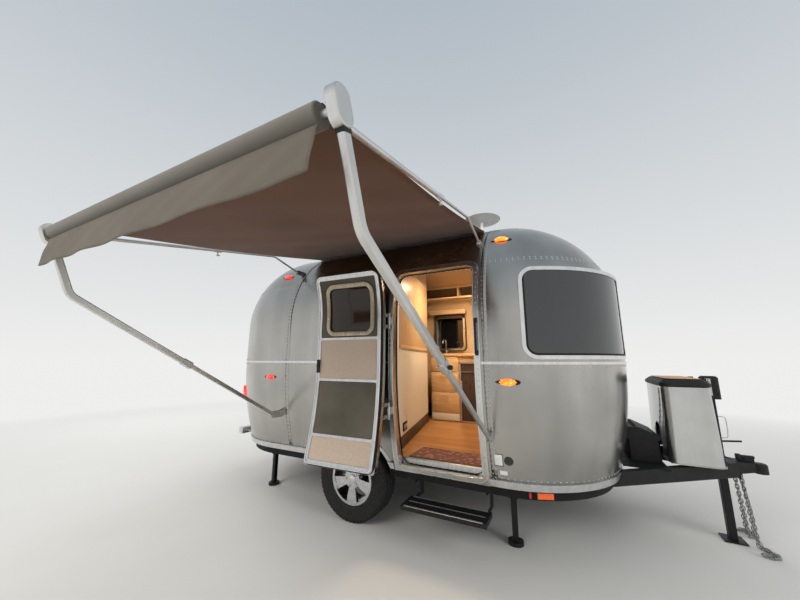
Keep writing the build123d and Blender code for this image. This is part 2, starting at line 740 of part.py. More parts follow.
battery_rear = battery_x - battery_length / 2
battery_front = battery_x + battery_length / 2
lid_foot = battery_high - 90
battery = block(battery_rear, battery_front, -battery_width / 2, battery_width / 2, battery_low, lid_foot)
battery = fillet(battery.edges().filter_by(Axis.Z), 18)
lid_profile = Polyline(
    (battery_rear - battery_lip, 0, lid_foot),
    (battery_front + battery_lip, 0, lid_foot),
    (battery_front + battery_lip, 0, lid_foot + 30),
    (battery_x - 20, 0, battery_high),
    (battery_rear - battery_lip, 0, battery_high),
    close=True,
)
lid_width_y = battery_width + 12
battery_lid = extrude(Face(Wire(lid_profile.edges())), amount=lid_width_y, dir=(0, 1, 0))
battery += Pos(0, -lid_width_y / 2, 0) * battery_lid
for index in range(9):
    y = (index - 4) * 40
    battery += block(battery_x - 60, battery_x - 30, y - 6, y + 6, battery_high, battery_high + 6)
nodes["battery_box"] = battery

# Axle with its trailing arms and hubs
axle_z = pan_z - axle_tube / 2 - axle_gap
axle_half = axle_tube / 2
arm_y = track_y - arm_in
axle_end = arm_y - 2
tube_x = (axle_x - axle_half, axle_x + axle_half)
axle = block(*tube_x, -axle_end, axle_end, axle_z - axle_half, axle_z + axle_half)
axle = fillet(axle.edges().filter_by(Axis.Y), 12)
for side in (1, -1):
    axle += block(axle_x - 60, axle_x + 60, *sided(side, rail_y - 30, rail_y + 30), axle_z + 20, pan_z - seat)
    faces = sided(side, arm_y, arm_y + arm_thick)
    arm = block(-arm_thick, axle_x + arm_thick, *faces, tyre_r - arm_half, tyre_r + arm_half)
    arm = fillet(arm.edges().filter_by(Axis.Y), arm_half - 4)
    boss = sided(side, arm_y - 12, arm_y + 18)
    axle += arm + block(axle_x - 28, axle_x + 28, *boss, axle_z - 25, axle_z + 25)
    drum = (arm_y + arm_thick - 7, track_y + hub_y - 7.5)
    axle += Pos(0, side * sum(drum) / 2, tyre_r) * Rot(90, 0, 0) * Cylinder(drum_r, drum[1] - drum[0])
    axle += Pos(0, side * (track_y + 1), tyre_r) * Rot(90, 0, 0) * Cylinder(spindle_r, 80)
    axle += Pos(0, side * (arm_y + 43), tyre_r) * Rot(90, 0, 0) * Cylinder(plate_r, 10)
nodes["axle"] = axle


# Wheels


def ring_y(r0, r1, y0, y1):
    """A ring about the Y axis."""
    centre = Pos(0, (y0 + y1) / 2, 0) * Rot(90, 0, 0)
    return centre * (Cylinder(r1, y1 - y0) - Cylinder(r0, y1 - y0 + 2))


tyre_section = Pos((tyre_r + rim_r) / 2, 0) * RectangleRounded(tyre_r - rim_r, tyre_width, 34)
tyre_form = revolve(tyre_section, Axis.Y)
rim_half = tyre_width / 2 - 22
tyre_form -= ring_y(rim_r - 20, rim_r + seat, -tyre_width, tyre_width)
for side in (1, -1):
    tyre_form -= ring_y(rim_r - 20, rim_r + 10 + seat, *sided(side, rim_half - seat, tyre_width))
groove = ring_y(tyre_r - 8, tyre_r + 5, -4, 4)
for y in (-46, 0, 46):
    tyre_form -= Pos(0, y, 0) * groove

rim = ring_y(rim_r - 12, rim_r, -rim_half, rim_half)
for side in (1, -1):
    rim += ring_y(rim_r - 12, rim_r + 10, *sided(side, rim_half, rim_half + 8))
rim += Pos(0, hub_y + 15, 0) * Rot(90, 0, 0) * Cylinder(hub_r, 44)
spokes = 5
inward = {"z_dir": (-1, 0, 0), "x_dir": (0, 0, 1)}
spoke_out = Plane(origin=(rim_r - 10, rim_half - 16, 0), **inward) * Rectangle(104, 24)
spoke_in = Plane(origin=(hub_r - 14, hub_y + 18, 0), **inward) * Rectangle(56, 34)
for index in range(spokes):
    rim += Rot(0, 360 / spokes * index + 18, 0) * loft([spoke_out, spoke_in])
rim -= Pos(0, -20, 0) * Rot(90, 0, 0) * Cylinder(spindle_r + 0.5, 150)
for index in range(spokes):
    lug = Pos(56, hub_y + 37, 0) * Rot(90, 0, 0) * Cylinder(9, 30)
    rim -= Rot(0, 360 / spokes * index, 0) * lug
rim += Pos(0, hub_y + 22, 0) * Rot(90, 0, 0) * Cylinder(36, 40)

for name, side, turned in (("curb", -1, 180), ("road", 1, 0)):
    place = Pos(0, side * track_y, tyre_r) * Rot(0, 0, turned)
    nodes["wheel_" + name + "_tyre"] = place * tyre_form
    nodes["wheel_" + name + "_rim"] = place * rim

# Rear bumper and lamps
bumper_size = (70, 1500, 70)
bumper = Pos(shell_rear - 45, 0, pan_z + 40) * RectangleRounded(bumper_size[0], bumper_size[1], 30)
bumper = extrude(bumper, amount=bumper_size[2])
for side in (1, -1):
    iron_span = sided(side, rail_y - iron_half, rail_y + iron_half)
    bumper += block(shell_rear - 30, rail_rear_x, *iron_span, pan_z + iron_low, pan_z + iron_high)
nodes["rear_bumper"] = bumper


def skin_place(x, side, z):
    """A place on the skin at x and z, its Z axis pointing out and its X axis along the body."""
    radius = radius_at(0, z)
    centre_x = min(max(x, rear_x), front_x)
    turn = asin((x - centre_x) / radius)
    y = side * (half_flat + radius * cos(turn))
    rise = 0
    if z > shoulder_z:
        rise = asin((z - shoulder_z) / corner_r)
    if z < belt_z:
        rise = -asin((belt_z - z) / tuck_r)
    out = Vector(sin(turn) * cos(rise), side * cos(turn) * cos(rise), sin(rise))
    along = Vector(cos(turn), -side * sin(turn), 0)
    return Plane(origin=(x, y, z), x_dir=along, z_dir=out)


# Side lamps, each repeated on both sides
Lamp = namedtuple("Lamp", "x z colour")
side_lamps = (
    Lamp(cap_front_x + 115, roof_z - 286, "amber"),
    Lamp(cap_front_x + 138, belt_z - 128, "amber"),
    Lamp(cap_rear_x - 250, roof_z - 342, "red"),
    Lamp(cap_rear_x - 216, belt_z - 146, "red"),
)
drop = Line((0, -lamp_long / 2), (0, lamp_long / 2))
teardrop = ThreePointArc((0, lamp_long / 2), (lamp_r, lamp_long / 5), (0, -lamp_long / 2))
lamp_form = revolve(make_face((drop + teardrop).edges()), Axis.Y)
lamp_form = Rot(0, 0, 90) * lamp_form
lamp_form &= Pos(0, 0, lamp_r) * Box(300, 300, 2 * lamp_r)
lamp_sets = {"amber": [], "red": []}
for row in side_lamps:
    for side in (1, -1):
        plane = skin_place(row.x, side, row.z)
        if row.colour == "red":
            plane = Plane(origin=plane.origin, x_dir=-plane.x_dir, z_dir=plane.z_dir)
        lamp = plane * (Pos(0, 0, 6) * lamp_form + Pos(0, 0, 2) * Box(lamp_long * 0.8, lamp_r * 1.6, 12))
        lamp_sets[row.colour].append(lamp - hull)
tail_turns = (42, 52)
for side in (1, -1):
    tail = corner_prism(-1, side, *tail_turns, belt_z - 404, belt_z - 264, 18, corner_r - 60, corner_r + 10)
    lamp_sets["red"].append(tail - hull)
nodes["amber_lamps"] = lamp_sets["amber"]
nodes["red_lamps"] = lamp_sets["red"]

# Entry door: frame on the body, then the leaf with its window and screen door, swung open
door_x0 = frame_rear_x + frame_border + door_gap
door_x1 = frame_front_x - frame_border - door_gap
door_z0 = frame_low + frame_border + door_gap
door_z1 = frame_high - frame_border - door_gap
leaf_corner = frame_corner - frame_border - door_gap + 20


def curb_band(outer, inner, low=frame_low - 20, high=frame_high + 60):
    """The side wall between two insets along the doorway, on the door's side."""
    return run_x(wall_section(outer, inner, low, high), -1, frame_rear_x - 40, frame_front_x + 40)


def doorway(x0, x1, z0, z1, corner, corner_low=0):
    """An upright opening shape through the door's side wall."""
    return side_prism(x0, x1, z0, z1, corner, -shell_width, -shell_width / 2 + 400, corner_low)


inner_door = doorway(door_x0 - door_gap, door_x1 + door_gap, door_z0 - door_gap, door_z1 + door_gap,
                     leaf_corner + door_gap)
edge = frame_proud + seat
flange = curb_band(-frame_proud, -seat) & doorway(
    frame_rear_x, frame_front_x, frame_low, frame_high, frame_corner)
liner = curb_band(-seat, frame_deep) & doorway(
    frame_rear_x + edge, frame_front_x - edge, frame_low, frame_high - edge, frame_corner - edge)
surround = flange + liner - inner_door
pin_line = Pos(door_axis_x, door_axis_y, 0)
hinge_heights = (door_z0 + hinge_low, door_z1 - hinge_high)
for z in hinge_heights:
    surround += pin_line * Pos(0, 0, z) * (Cylinder(hinge_r, 60) + Cylinder(hinge_pin_r, 130))
    plate = block(frame_rear_x + 6, door_axis_x + 4, door_axis_y, -shell_width / 2 + 60, z - 28, z + 28)
    surround += plate - hull
nodes["door_frame"] = surround

leaf = curb_band(0, door_thick) & doorway(door_x0, door_x1, door_z0, door_z1, leaf_corner, 20)
window_x = (door_x0 + 110, door_x1 - 110)
window_z = (door_z0 + 930, door_z1 - 91)
leaf -= doorway(*window_x, *window_z, 60, 60)
leaf_bores = []
for z in hinge_heights:
    for step in (-46, 46):
        leaf += pin_line * Pos(0, 0, z + step) * Cylinder(hinge_r, 30)
        leaf_bores.append(pin_line * Pos(0, 0, z + step) * Cylinder(hinge_pin_r + hinge_slack, 34))
        heights = (z + step - 15, z + step + 15)
        leaf += block(door_axis_x, door_x0 + 26, door_axis_y - 6, door_axis_y + 2, *heights)
        leaf += block(door_x0 + 2, door_x0 + 26, door_axis_y - 6, -shell_width / 2 + 36, *heights)
leaf = cut(leaf, leaf_bores)
handle_x = door_x1 - 50
handle_z = door_z0 + 720
handle = fillet(Box(34, 16, 150).edges().filter_by(Axis.Y), 12)
leaf += Pos(handle_x, -shell_width / 2 - 20, handle_z) * handle
handle_root = (-shell_width / 2 - 20, -shell_width / 2 + 6)
leaf += block(handle_x - 10, handle_x + 10, *handle_root, handle_z - 60, handle_z + 60)
glass = curb_band(12, 12 + glass_thick) & doorway(
    window_x[0] + seat, window_x[1] - seat, window_z[0] + seat, window_z[1] - seat, 60, 60)
screen_x = (door_x0 + screen_gap, door_x1 - screen_gap)
screen_z = (door_z0 + screen_gap, door_z1 - screen_gap)
screen_band = curb_band(door_thick + seat, door_thick + screen_thick)
screen = screen_band & doorway(*screen_x, *screen_z, leaf_corner - 10, 30)
Infill = namedtuple("Infill", "low high kind")
screen_panels = (
    Infill(screen_z[0] + 30, screen_z[0] + 196, "panel"),
    Infill(screen_z[0] + 216, screen_z[0] + 626, "mesh"),
    Infill(screen_z[0] + 646, screen_z[0] + 966, "panel"),
    Infill(screen_z[0] + 986, screen_z[1] - 34, "mesh"),
)
infill_band = curb_band(door_thick + 4, door_thick + 10)
infill = {"panel": [], "mesh": []}
hole_x = (screen_x[0] + screen_border, screen_x[1] - screen_border)
for row in screen_panels:
    screen -= doorway(*hole_x, row.low, row.high, 14, 14)
    infill[row.kind].append(infill_band & doorway(
        hole_x[0] + seat, hole_x[1] - seat, row.low + seat, row.high - seat, 14, 14))
swing = Pos(door_axis_x, door_axis_y, 0) * Rot(0, 0, -door_open) * Pos(-door_axis_x, -door_axis_y, 0)
nodes["entry_door"] = swing * leaf
nodes["entry_door_glass"] = swing * glass
nodes["screen_door"] = swing * screen
nodes["screen_door_panels"] = [swing * piece for piece in infill["panel"]]
nodes["screen_door_mesh"] = [swing * piece for piece in infill["mesh"]]


# Awning. Its arms lie in planes of constant X; outlines are given as Y and Z.
arm_dir = Vector(0, arm_bend_y - arm_foot_y, arm_bend_z - arm_foot_z)
arm_length = arm_dir.length
arm_dir = arm_dir.normalized()
arm_travel = arm_length - (arm_stow_z - arm_foot_z)
rafter_dir = Vector(0, roller_y - rafter_bend_y, roller_z - rafter_bend_z)
rafter_reach = rafter_dir.length
rafter_dir = rafter_dir.normalized()
screw_dir = Vector(0, -rafter_dir.Z, rafter_dir.Y)
head_lean = degrees(atan2(arm_bend_y - roller_y, roller_z - arm_bend_z))
roller_front_x = arm_x_front - fabric_edge
roller_rear_x = arm_x_rear + fabric_edge


def across(x, y, z, radius, length):
    """A pin along X."""
    return Pos(x, y, z) * Rot(0, 90, 0) * Cylinder(radius, length)


def straight(origin, direction, start, end, section):
    """A section drawn along a direction in the arm's plane, from start to end."""
    place = Plane(origin=origin + direction * start, x_dir=(1, 0, 0), z_dir=direction)
    return extrude(place * section, amount=end - start)


arms_inner = []
arms_outer = []
rafters_inner = []
rafters_outer = []
brackets = []
for x, inboard in ((arm_x_front, -1), (arm_x_rear, 1)):
    foot = Vector(x, arm_foot_y, arm_foot_z)
    bend = Vector(x, arm_bend_y, arm_bend_z)
    tip = Vector(x, roller_y, roller_z)
    inner = straight(foot, arm_dir, 0, arm_inner_long, RectangleRounded(arm_inner_w, arm_inner_h, 4))
    inner -= straight(foot, arm_dir, 40, arm_inner_long + 1, Rectangle(arm_inner_w - 5, arm_inner_h - 5))
    inner += across(x, arm_foot_y, arm_foot_z, 17, arm_inner_w)
    inner -= across(x, arm_foot_y, arm_foot_z, pin_r + pin_slack, 60)
    arms_inner.append(inner)
    start = foot + arm_dir * arm_joint
    path = FilletPolyline(start, bend, tip, radius=90)
    mouth = Plane(origin=start, x_dir=(1, 0, 0), z_dir=arm_dir)
    outer = sweep(mouth * RectangleRounded(arm_outer_w, arm_outer_h, 7), path=path)
    bore = Rectangle(arm_outer_w - 2 * arm_wall, arm_outer_h - 2 * arm_wall)
    outer -= straight(foot, arm_dir, arm_joint - 1, arm_length - 50, bore)
    collar = RectangleRounded(arm_outer_w + 10, arm_outer_h + 10, 9)
    outer += straight(foot, arm_dir, arm_joint, arm_joint + 70, collar) - straight(
        foot, arm_dir, arm_joint - 1, arm_joint + 72, Rectangle(arm_outer_w - 1, arm_outer_h - 1))
    head = fillet(Box(arm_outer_w + 12, head_deep, head_tall).edges().filter_by(Axis.X), head_deep / 2 - 3)
    outer += Pos(tip.X, tip.Y, tip.Z) * Rot(head_lean, 0, 0) * fillet(head.edges(), 6)
    outer += across(x + inboard * (fabric_edge + 16) / 2, roller_y, roller_z, roller_pin_r, fabric_edge - 16)
    arms_outer.append(outer)
    # Rafter, inboard of the arm
    rafter_x = x + inboard * rafter_inboard
    root = Vector(rafter_x, rafter_foot_y, rafter_foot_z)
    knee = Vector(rafter_x, rafter_bend_y, rafter_bend_z)
    end = knee + rafter_dir * rafter_inner_long
    path = FilletPolyline(root, knee, end, radius=110)
    first = (knee - root).normalized()
    inner = sweep(Plane(origin=root, x_dir=(1, 0, 0), z_dir=first) * Circle(rafter_inner_r), path=path)
    inner += across(rafter_x, rafter_foot_y, rafter_foot_z, 13, 18)
    inner -= across(rafter_x, rafter_foot_y, rafter_foot_z, pin_r + pin_slack, 60)
    rafters_inner.append(inner)
    outer = straight(knee, rafter_dir, rafter_joint, rafter_reach - 30, Circle(rafter_r))
    outer -= straight(knee, rafter_dir, rafter_joint - 1, rafter_reach - 60, Circle(rafter_inner_r + 0.5))
    screw = knee + rafter_dir * (rafter_joint + 30)
    outer += straight(knee, rafter_dir, rafter_joint, rafter_joint + 60, Circle(rafter_r + 4)) - straight(
        knee, rafter_dir, rafter_joint - 1, rafter_joint + 61, Circle(rafter_r - 0.5))
    outer += straight(screw, screw_dir, rafter_inner_r + 1.5, 40, Circle(5))
    outer += straight(screw, screw_dir, 35, 45, Circle(13))
    rafters_outer.append(outer)
    # Brackets on the skin: a clevis at each foot
    for place, gap, depth, plates in ((foot, arm_inner_w, 150, 58), (root, 18, 130, 40)):
        for side in (1, -1):
            faces = sorted((place.X + side * (gap / 2 + 1), place.X + side * (gap / 2 + 5)))
            heights = (place.Z - plates / 2, place.Z + plates / 2)
            plate = block(*faces, place.Y - 20, place.Y + depth, *heights)
            plate = fillet(plate.edges().filter_by(Axis.X).group_by(Axis.Y)[0], plates / 2 - 1)
            brackets.append(plate - hull)
        pin = across(place.X, place.Y, place.Z, pin_r, gap + 10)
        brackets[-2:] = [brackets[-2] + brackets[-1] + pin]

rail_z = shoulder_z + sqrt(corner_r ** 2 - (rail_y_awning + half_flat) ** 2)
rail = block(roller_rear_x, roller_front_x, rail_y_awning - 10, rail_y_awning + 10, rail_z - 15, rail_z + 18)
nodes["awning_mounts"] = brackets + [rail - hull]
nodes["awning_arms_inner"] = arms_inner
nodes["awning_arms_outer"] = arms_outer
nodes["awning_rafters_inner"] = rafters_inner
nodes["awning_rafters_outer"] = rafters_outer
roller_middle = (roller_rear_x + roller_front_x) / 2
roller_long = roller_front_x - roller_rear_x
roller = across(roller_middle, roller_y, roller_z, roller_r, roller_long)
roller -= across(roller_middle, roller_y, roller_z, roller_pin_r, roller_long + 2)
roller = chamfer(roller.edges().filter_by(GeomType.CIRCLE).filter_by(lambda e: e.radius > 20), 4)
nodes["awning_roller"] = roller
fabric_in = (rail_y_awning - 10 - seat, rail_z + 14)
fabric_out = (roller_y, roller_z + roller_r + seat)
fabric_profile = Polyline(
    (roller_rear_x, fabric_in[0], fabric_in[1]),
    (roller_rear_x, fabric_out[0], fabric_out[1]),
    (roller_rear_x, fabric_out[0], fabric_out[1] + fabric_thick),
    (roller_rear_x, fabric_in[0], fabric_in[1] + fabric_thick),
    close=True,
)
nodes["awning_fabric"] = extrude(Face(Wire(fabric_profile.edges())), amount=roller_long, dir=(1, 0, 0))
valance_y = roller_y - roller_r - seat
nodes["awning_valance"] = block(
    roller_rear_x, roller_front_x, valance_y - fabric_thick, valance_y, roller_z - valance_drop, roller_z)

# Entry step: fixed runners under the pan and a tread that slides out on them
step_lip_y = -shell_width / 2 - step_out
step_y = step_lip_y + step_depth
runners = []
runner_top = pan_z - seat
runner_y = (step_y + 50, step_y + 50 + runner_long)
runner_x = (step_rear_x + runner_in, step_front_x - runner_in)
inside_low = runner_top - runner_high + runner_wall
for x in runner_x:
    half = runner_wide / 2
    runner = block(x - half, x + half, *runner_y, runner_top - runner_high, runner_top)
    cavity = (runner_y[0] - 1, runner_y[1] + 1)
    runner -= block(x - half + runner_wall, x + half - runner_wall, *cavity, inside_low, runner_top - 8)
    runner -= block(x - 7, x + 7, *cavity, runner_top - runner_high - 6, runner_top - 8)
    runners.append(runner)
tread = block(step_rear_x, step_front_x, step_lip_y, step_y, step_z - step_thick, step_z)
tread = fillet(tread.edges().filter_by(Axis.X).group_by(Axis.Y)[0], 10)
for y in (step_lip_y + 30, step_y - 30):
    tread -= block(step_rear_x + 30, step_front_x - 30, y - 7, y + 7, step_z - 4, step_z + 1)
for x in runner_x:
    half = runner_wide / 2 - runner_wall - 0.5
    tread += block(x - 6, x + 6, step_y - 60, step_y + 170, step_z - 30, step_z - 8)
    tread += block(x - 6, x + 6, step_y + 120, step_y + 170, step_z - 30, runner_top - 10)
    tread += block(x - half, x + half, step_y + 110, step_y + 350, inside_low + 0.5, runner_top - 8.5)
nodes["entry_step"] = tread

# Corner legs: brackets under the pan and a leg that folds up along the body
leg_mounts = []
leg_half = leg_width / 2
for name, x in (("front", leg_x_front), ("rear", leg_x_rear)):
    for side_name, side in (("curb", -1), ("road", 1)):
        y = side * leg_y
        mount = block(x - 34, x + 34, y - leg_half - 5, y + leg_half + 5, runner_top - 4, runner_top)
        for step in (1, -1):
            faces = sorted((y + step * (leg_half + 1), y + step * (leg_half + 5)))
            mount += block(x - 30, x + 30, *faces, leg_pivot_z - 22, runner_top)
        mount += Pos(x, y, leg_pivot_z) * Rot(90, 0, 0) * Cylinder(pin_r, leg_width + 10)
        leg_mounts.append(mount)
        leg = block(x - 18, x + 18, y - leg_half, y + leg_half, 26, leg_pivot_z + 18)
        leg = fillet(leg.edges().filter_by(Axis.Y).group_by(Axis.Z)[-1], 17)
        leg -= block(x - 12, x + 19, y - leg_half + 5, y + leg_half - 5, 60, leg_pivot_z + 30)
        leg += Pos(x, y, 13) * Cylinder(leg_foot_r, 26)
        leg -= Pos(x, y, leg_pivot_z) * Rot(90, 0, 0) * Cylinder(pin_r + pin_slack, leg_width + 20)
        nodes["leg_" + name + "_" + side_name] = leg
nodes["underbody_mounts"] = leg_mounts + runners

# Roof: cooling unit, vent with its lid, dish
unit_base = RectangleRounded(unit_length, unit_width, 90)
unit_middle = RectangleRounded(unit_length - 40, unit_width - 40, 90)
unit_top = RectangleRounded(unit_length - 220, unit_width - 180, 60)
unit_waist = roof_z + unit_height * 0.7
unit = loft([Pos(unit_x, 0, roof_z) * unit_base, Pos(unit_x, 0, unit_waist) * unit_middle])
unit += loft([Pos(unit_x, 0, unit_waist) * unit_middle, Pos(unit_x, 0, roof_z + unit_height) * unit_top])
for index in range(6):
    z = roof_z + 40 + index * 20
    unit -= block(unit_x - unit_length, unit_x - unit_length / 2 + 26, -190, 190, z, z + 9)
vent_top = roof_z + vent_height
vent = Pos(vent_x, 0, roof_z + vent_height / 2) * Box(vent_size, vent_size, vent_height)
vent = fillet(vent.edges().filter_by(Axis.Z), 24)
vent -= Pos(vent_x, 0, roof_z + vent_height / 2 + 6) * Box(vent_size - 40, vent_size - 40, vent_height)
vent_axis_x = vent_x + vent_size / 2 + 14
vent_axis_z = vent_top + 6
lid_base = RectangleRounded(vent_size + 16, vent_size + 16, 30)
lid_crown = RectangleRounded(vent_size - 90, vent_size - 90, 30)
vent_lid = extrude(Pos(vent_x, 0, vent_top + seat) * lid_base, amount=12)
vent_lid += loft([Pos(vent_x, 0, vent_top + 12) * lid_base, Pos(vent_x, 0, vent_top + 44) * lid_crown])
for y in (-110, 110):
    vent_lid += block(vent_axis_x - 14, vent_axis_x, y - 10, y + 10, vent_axis_z - 5, vent_axis_z + 5)
    vent_lid += Pos(vent_axis_x, y, vent_axis_z) * Rot(90, 0, 0) * Cylinder(vent_pin_r, 40)
    for step in (-15, 15):
        faces = (y + step - 4, y + step + 4)
        ear = block(vent_axis_x - 16, vent_axis_x + 5, *faces, roof_z, vent_top - 4)
        ear += block(vent_axis_x - 5, vent_axis_x + 5, *faces, roof_z, vent_axis_z)
        ear += Pos(vent_axis_x, y + step, vent_axis_z) * Rot(90, 0, 0) * Cylinder(5, 8)
        ear -= Pos(vent_axis_x, y, vent_axis_z) * Rot(90, 0, 0) * Cylinder(vent_pin_r + pin_slack, 100)
        vent += ear
nodes["roof_fittings"] = [unit, vent]
nodes["roof_vent_lid"] = vent_lid
dish = Pos(0, 0, antenna_cone / 2) * Cone(antenna_hub_r, antenna_r, antenna_cone)
dome_r = (antenna_r ** 2 + antenna_rise ** 2) / (2 * antenna_rise)
dome = Pos(0, 0, antenna_cone + antenna_rise - dome_r) * Sphere(dome_r)
dish += dome & (Pos(0, 0, antenna_cone + antenna_rise / 2) * Cylinder(antenna_r, antenna_rise))
dish = Pos(antenna_x, antenna_y, antenna_z) * dish
mast = block(antenna_x - 12, antenna_x + 12, antenna_y - 12, antenna_y + 12, roof_z - 60, antenna_z + 12)
plinth = block(antenna_x - 70, antenna_x + 70, antenna_y - 50, antenna_y + 50, roof_z - 60, roof_z + 14)
nodes["roof_dish"] = dish + (mast + plinth - hull)

# Inside, as it shows through the doorway and the windows
galley_deep = 600
galley_face = shell_width / 2 - galley_deep
partition_door = (frame_rear_x - 40, -shell_width / 2 + 170)
partition_far = (30, galley_face - 115)
partition_thick = 30
counter_z = floor_z + 860
counter_thick = 30
counter_over = 18
fridge_x = (arch_r + 47, arch_r + 560)
fridge_back = shell_width / 2 - 190
fridge_top = counter_z - 109
panel_gap = 4
end_panel = 46
bed_x = cap_front_x
bed_half = shell_width / 2 - 260
bed_z = floor_z + 385
mattress_thick = 140
mattress_in = 20
locker_face = shell_width / 2 - 420
locker_back = shell_width / 2 - 110
locker_x = (-150, fridge_x[1] + 20)
locker_z = (roof_z - 370, roof_z - 60)
span = Vector(partition_far[0] - partition_door[0], partition_far[1] - partition_door[1])
partition_place = Plane(
    origin=((partition_door[0] + partition_far[0]) / 2, (partition_door[1] + partition_far[1]) / 2, floor_z),
    x_dir=(span.X, span.Y, 0), z_dir=(0, 0, 1))
partition = extrude(partition_place * Rectangle(span.length, partition_thick), amount=roof_z)
inside = interior(wall + 0.8, pan_z) & block(
    rear_x - corner_r, front_x + corner_r, -shell_width, shell_width, floor_z + seat, roof_z)
partition = (partition & inside) - well_forms
cabinet_low = counter_z - counter_thick
galley_end = fridge_x[1] + panel_gap + end_panel
galley_rear = partition_far[0] + 22
cabinet = block(galley_rear, fridge_x[0] - panel_gap, galley_face, shell_width, floor_z, cabinet_low)
cabinet += block(fridge_x[1] + panel_gap, galley_end, galley_face, shell_width, floor_z, cabinet_low)
cabinet += block(fridge_x[0] - panel_gap, fridge_x[1] + panel_gap, galley_face, shell_width,
                 fridge_top + panel_gap, cabinet_low)
counter_edge = galley_face - counter_over
counter = block(galley_rear, galley_end, counter_edge, shell_width, cabinet_low + seat, counter_z)
fridge = block(*fridge_x, galley_face + panel_gap, fridge_back, floor_z + seat, fridge_top)
locker = block(*locker_x, locker_face, shell_width, *locker_z)
for x0, x1 in ((-130, 395), (415, 670), (690, fridge_x[1])):
    locker -= block(x0, x1, locker_face - 100, locker_back, locker_z[0] + 22, locker_z[1] - 40)
bed_base = block(bed_x, shell_front, -bed_half, bed_half, floor_z, bed_z)
pad_half = bed_half - mattress_in
mattress = block(bed_x + 10, shell_front, -pad_half, pad_half, bed_z + seat, bed_z + mattress_thick)
inside_bed = plan_slab(wall + 30, floor_z + seat, bed_z + 2 * mattress_thick)
nodes["interior_panels"] = [partition, bed_base & inside_bed]
nodes["kitchen_cabinets"] = [(cabinet & inside) - well_forms, locker & inside]
nodes["kitchen_counter"] = counter & inside
nodes["fridge"] = (fridge & inside) - well_forms
nodes["mattress"] = mattress & inside_bed


def bounds(pieces):
    """The box round a list of shapes."""
    boxes = [piece.bounding_box() for piece in pieces]
    low = Vector(*(min(getattr(box.min, axis) for box in boxes) for axis in "XYZ"))
    high = Vector(*(max(getattr(box.max, axis) for box in boxes) for axis in "XYZ"))
    return low, high


solids = {name: piece if isinstance(piece, list) else [piece] for name, piece in nodes.items()}
low, high = bounds([piece for pieces in solids.values() for piece in pieces])
origin = Vector((low.X + high.X) / 2, (low.Y + high.Y) / 2, low.Z)
for name, pieces in solids.items():
    moved = [Pos(-origin.X, -origin.Y, -origin.Z) * piece for piece in pieces]
    export_step(Compound(children=moved) if len(moved) > 1 else moved[0], "parts/" + name + ".step")
print(len(nodes), "nodes,", sum(len(pieces) for pieces in solids.values()), "solids")
print("joint travels, mm: step", step_travel, "jack", jack_travel, "rafter", rafter_travel,
      "arm", round(arm_travel, 1))
print("joint travels, degrees: door", door_open, "gas lid", gas_lid_open, "vent", vent_open, "legs", leg_fold)
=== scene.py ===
from math import asin, cos, pi, radians, sin, sqrt

import bmesh
import bpy
from mathutils import Matrix, Vector


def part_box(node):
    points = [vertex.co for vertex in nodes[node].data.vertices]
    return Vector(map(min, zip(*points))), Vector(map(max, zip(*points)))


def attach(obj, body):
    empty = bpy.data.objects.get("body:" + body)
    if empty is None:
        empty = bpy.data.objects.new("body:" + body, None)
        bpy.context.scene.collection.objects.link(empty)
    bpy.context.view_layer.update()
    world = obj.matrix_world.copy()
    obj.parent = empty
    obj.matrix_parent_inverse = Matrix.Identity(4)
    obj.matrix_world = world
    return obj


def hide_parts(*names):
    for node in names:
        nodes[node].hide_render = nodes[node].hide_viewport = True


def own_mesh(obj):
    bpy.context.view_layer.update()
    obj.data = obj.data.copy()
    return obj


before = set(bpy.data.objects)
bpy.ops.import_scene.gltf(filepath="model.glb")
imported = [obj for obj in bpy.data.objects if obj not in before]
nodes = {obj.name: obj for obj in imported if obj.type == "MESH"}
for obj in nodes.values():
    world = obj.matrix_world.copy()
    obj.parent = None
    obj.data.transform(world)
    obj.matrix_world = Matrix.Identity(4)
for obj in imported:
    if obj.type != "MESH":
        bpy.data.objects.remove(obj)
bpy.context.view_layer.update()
print("frame loaded:", len(nodes), "nodes")

# The caravan's own layout, in metres: x = 0 over the axle, y = 0 on the centreline, z = 0 on the ground
wheels = {"side": 1.0175, "height": 0.33}  # middle of a wheel
wheelLow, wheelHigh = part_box("wheel_road_rim")
shift = Vector(((wheelLow.x + wheelHigh.x) / 2, (wheelLow.y + wheelHigh.y) / 2 - wheels["side"], 0))
toRow = Matrix.Translation(shift)

shell = {
    "front": 2.122, "rear": -1.874, "half": 1.22, "corner": 0.881, "roof": 2.56,
    "belt": 1.304, "tuck": 2.73, "skirt": 0.469, "wall": 0.045,
    "seams": (1.2, -0.71), "roofSeam": 2.07,
}
shoulder = shell["roof"] - shell["corner"]
frontCentre = shell["front"] - shell["corner"]
rearCentre = shell["rear"] + shell["corner"]
halfFlat = shell["half"] - shell["corner"]
doorway = {"rear": 0.412, "front": 1.161, "low": 0.461, "high": 2.1}
doorHinge = Vector((0.436, -1.243, 0))
doorSwing = (Matrix.Translation(doorHinge) @ Matrix.Rotation(radians(-178), 4, "Z")
             @ Matrix.Translation(-doorHinge))


def at(x, y, z):
    return Vector((x, y, z)) + shift


def radiusAt(z, inset=0):  # distance of the wall from the corner centre at a height
    if z < shell["belt"]:
        drop = sqrt((shell["tuck"] - inset) ** 2 - (shell["belt"] - z) ** 2)
        return shell["corner"] - shell["tuck"] + drop
    if z > shoulder:
        return sqrt(max((shell["corner"] - inset) ** 2 - (z - shoulder) ** 2, 0))
    return shell["corner"] - inset


def riseAt(z):  # how far the skin's normal is tipped up at a height
    if z < shell["belt"]:
        return -asin((shell["belt"] - z) / shell["tuck"])
    if z > shoulder:
        return asin(min((z - shoulder) / shell["corner"], 1))
    return 0


# Finishes

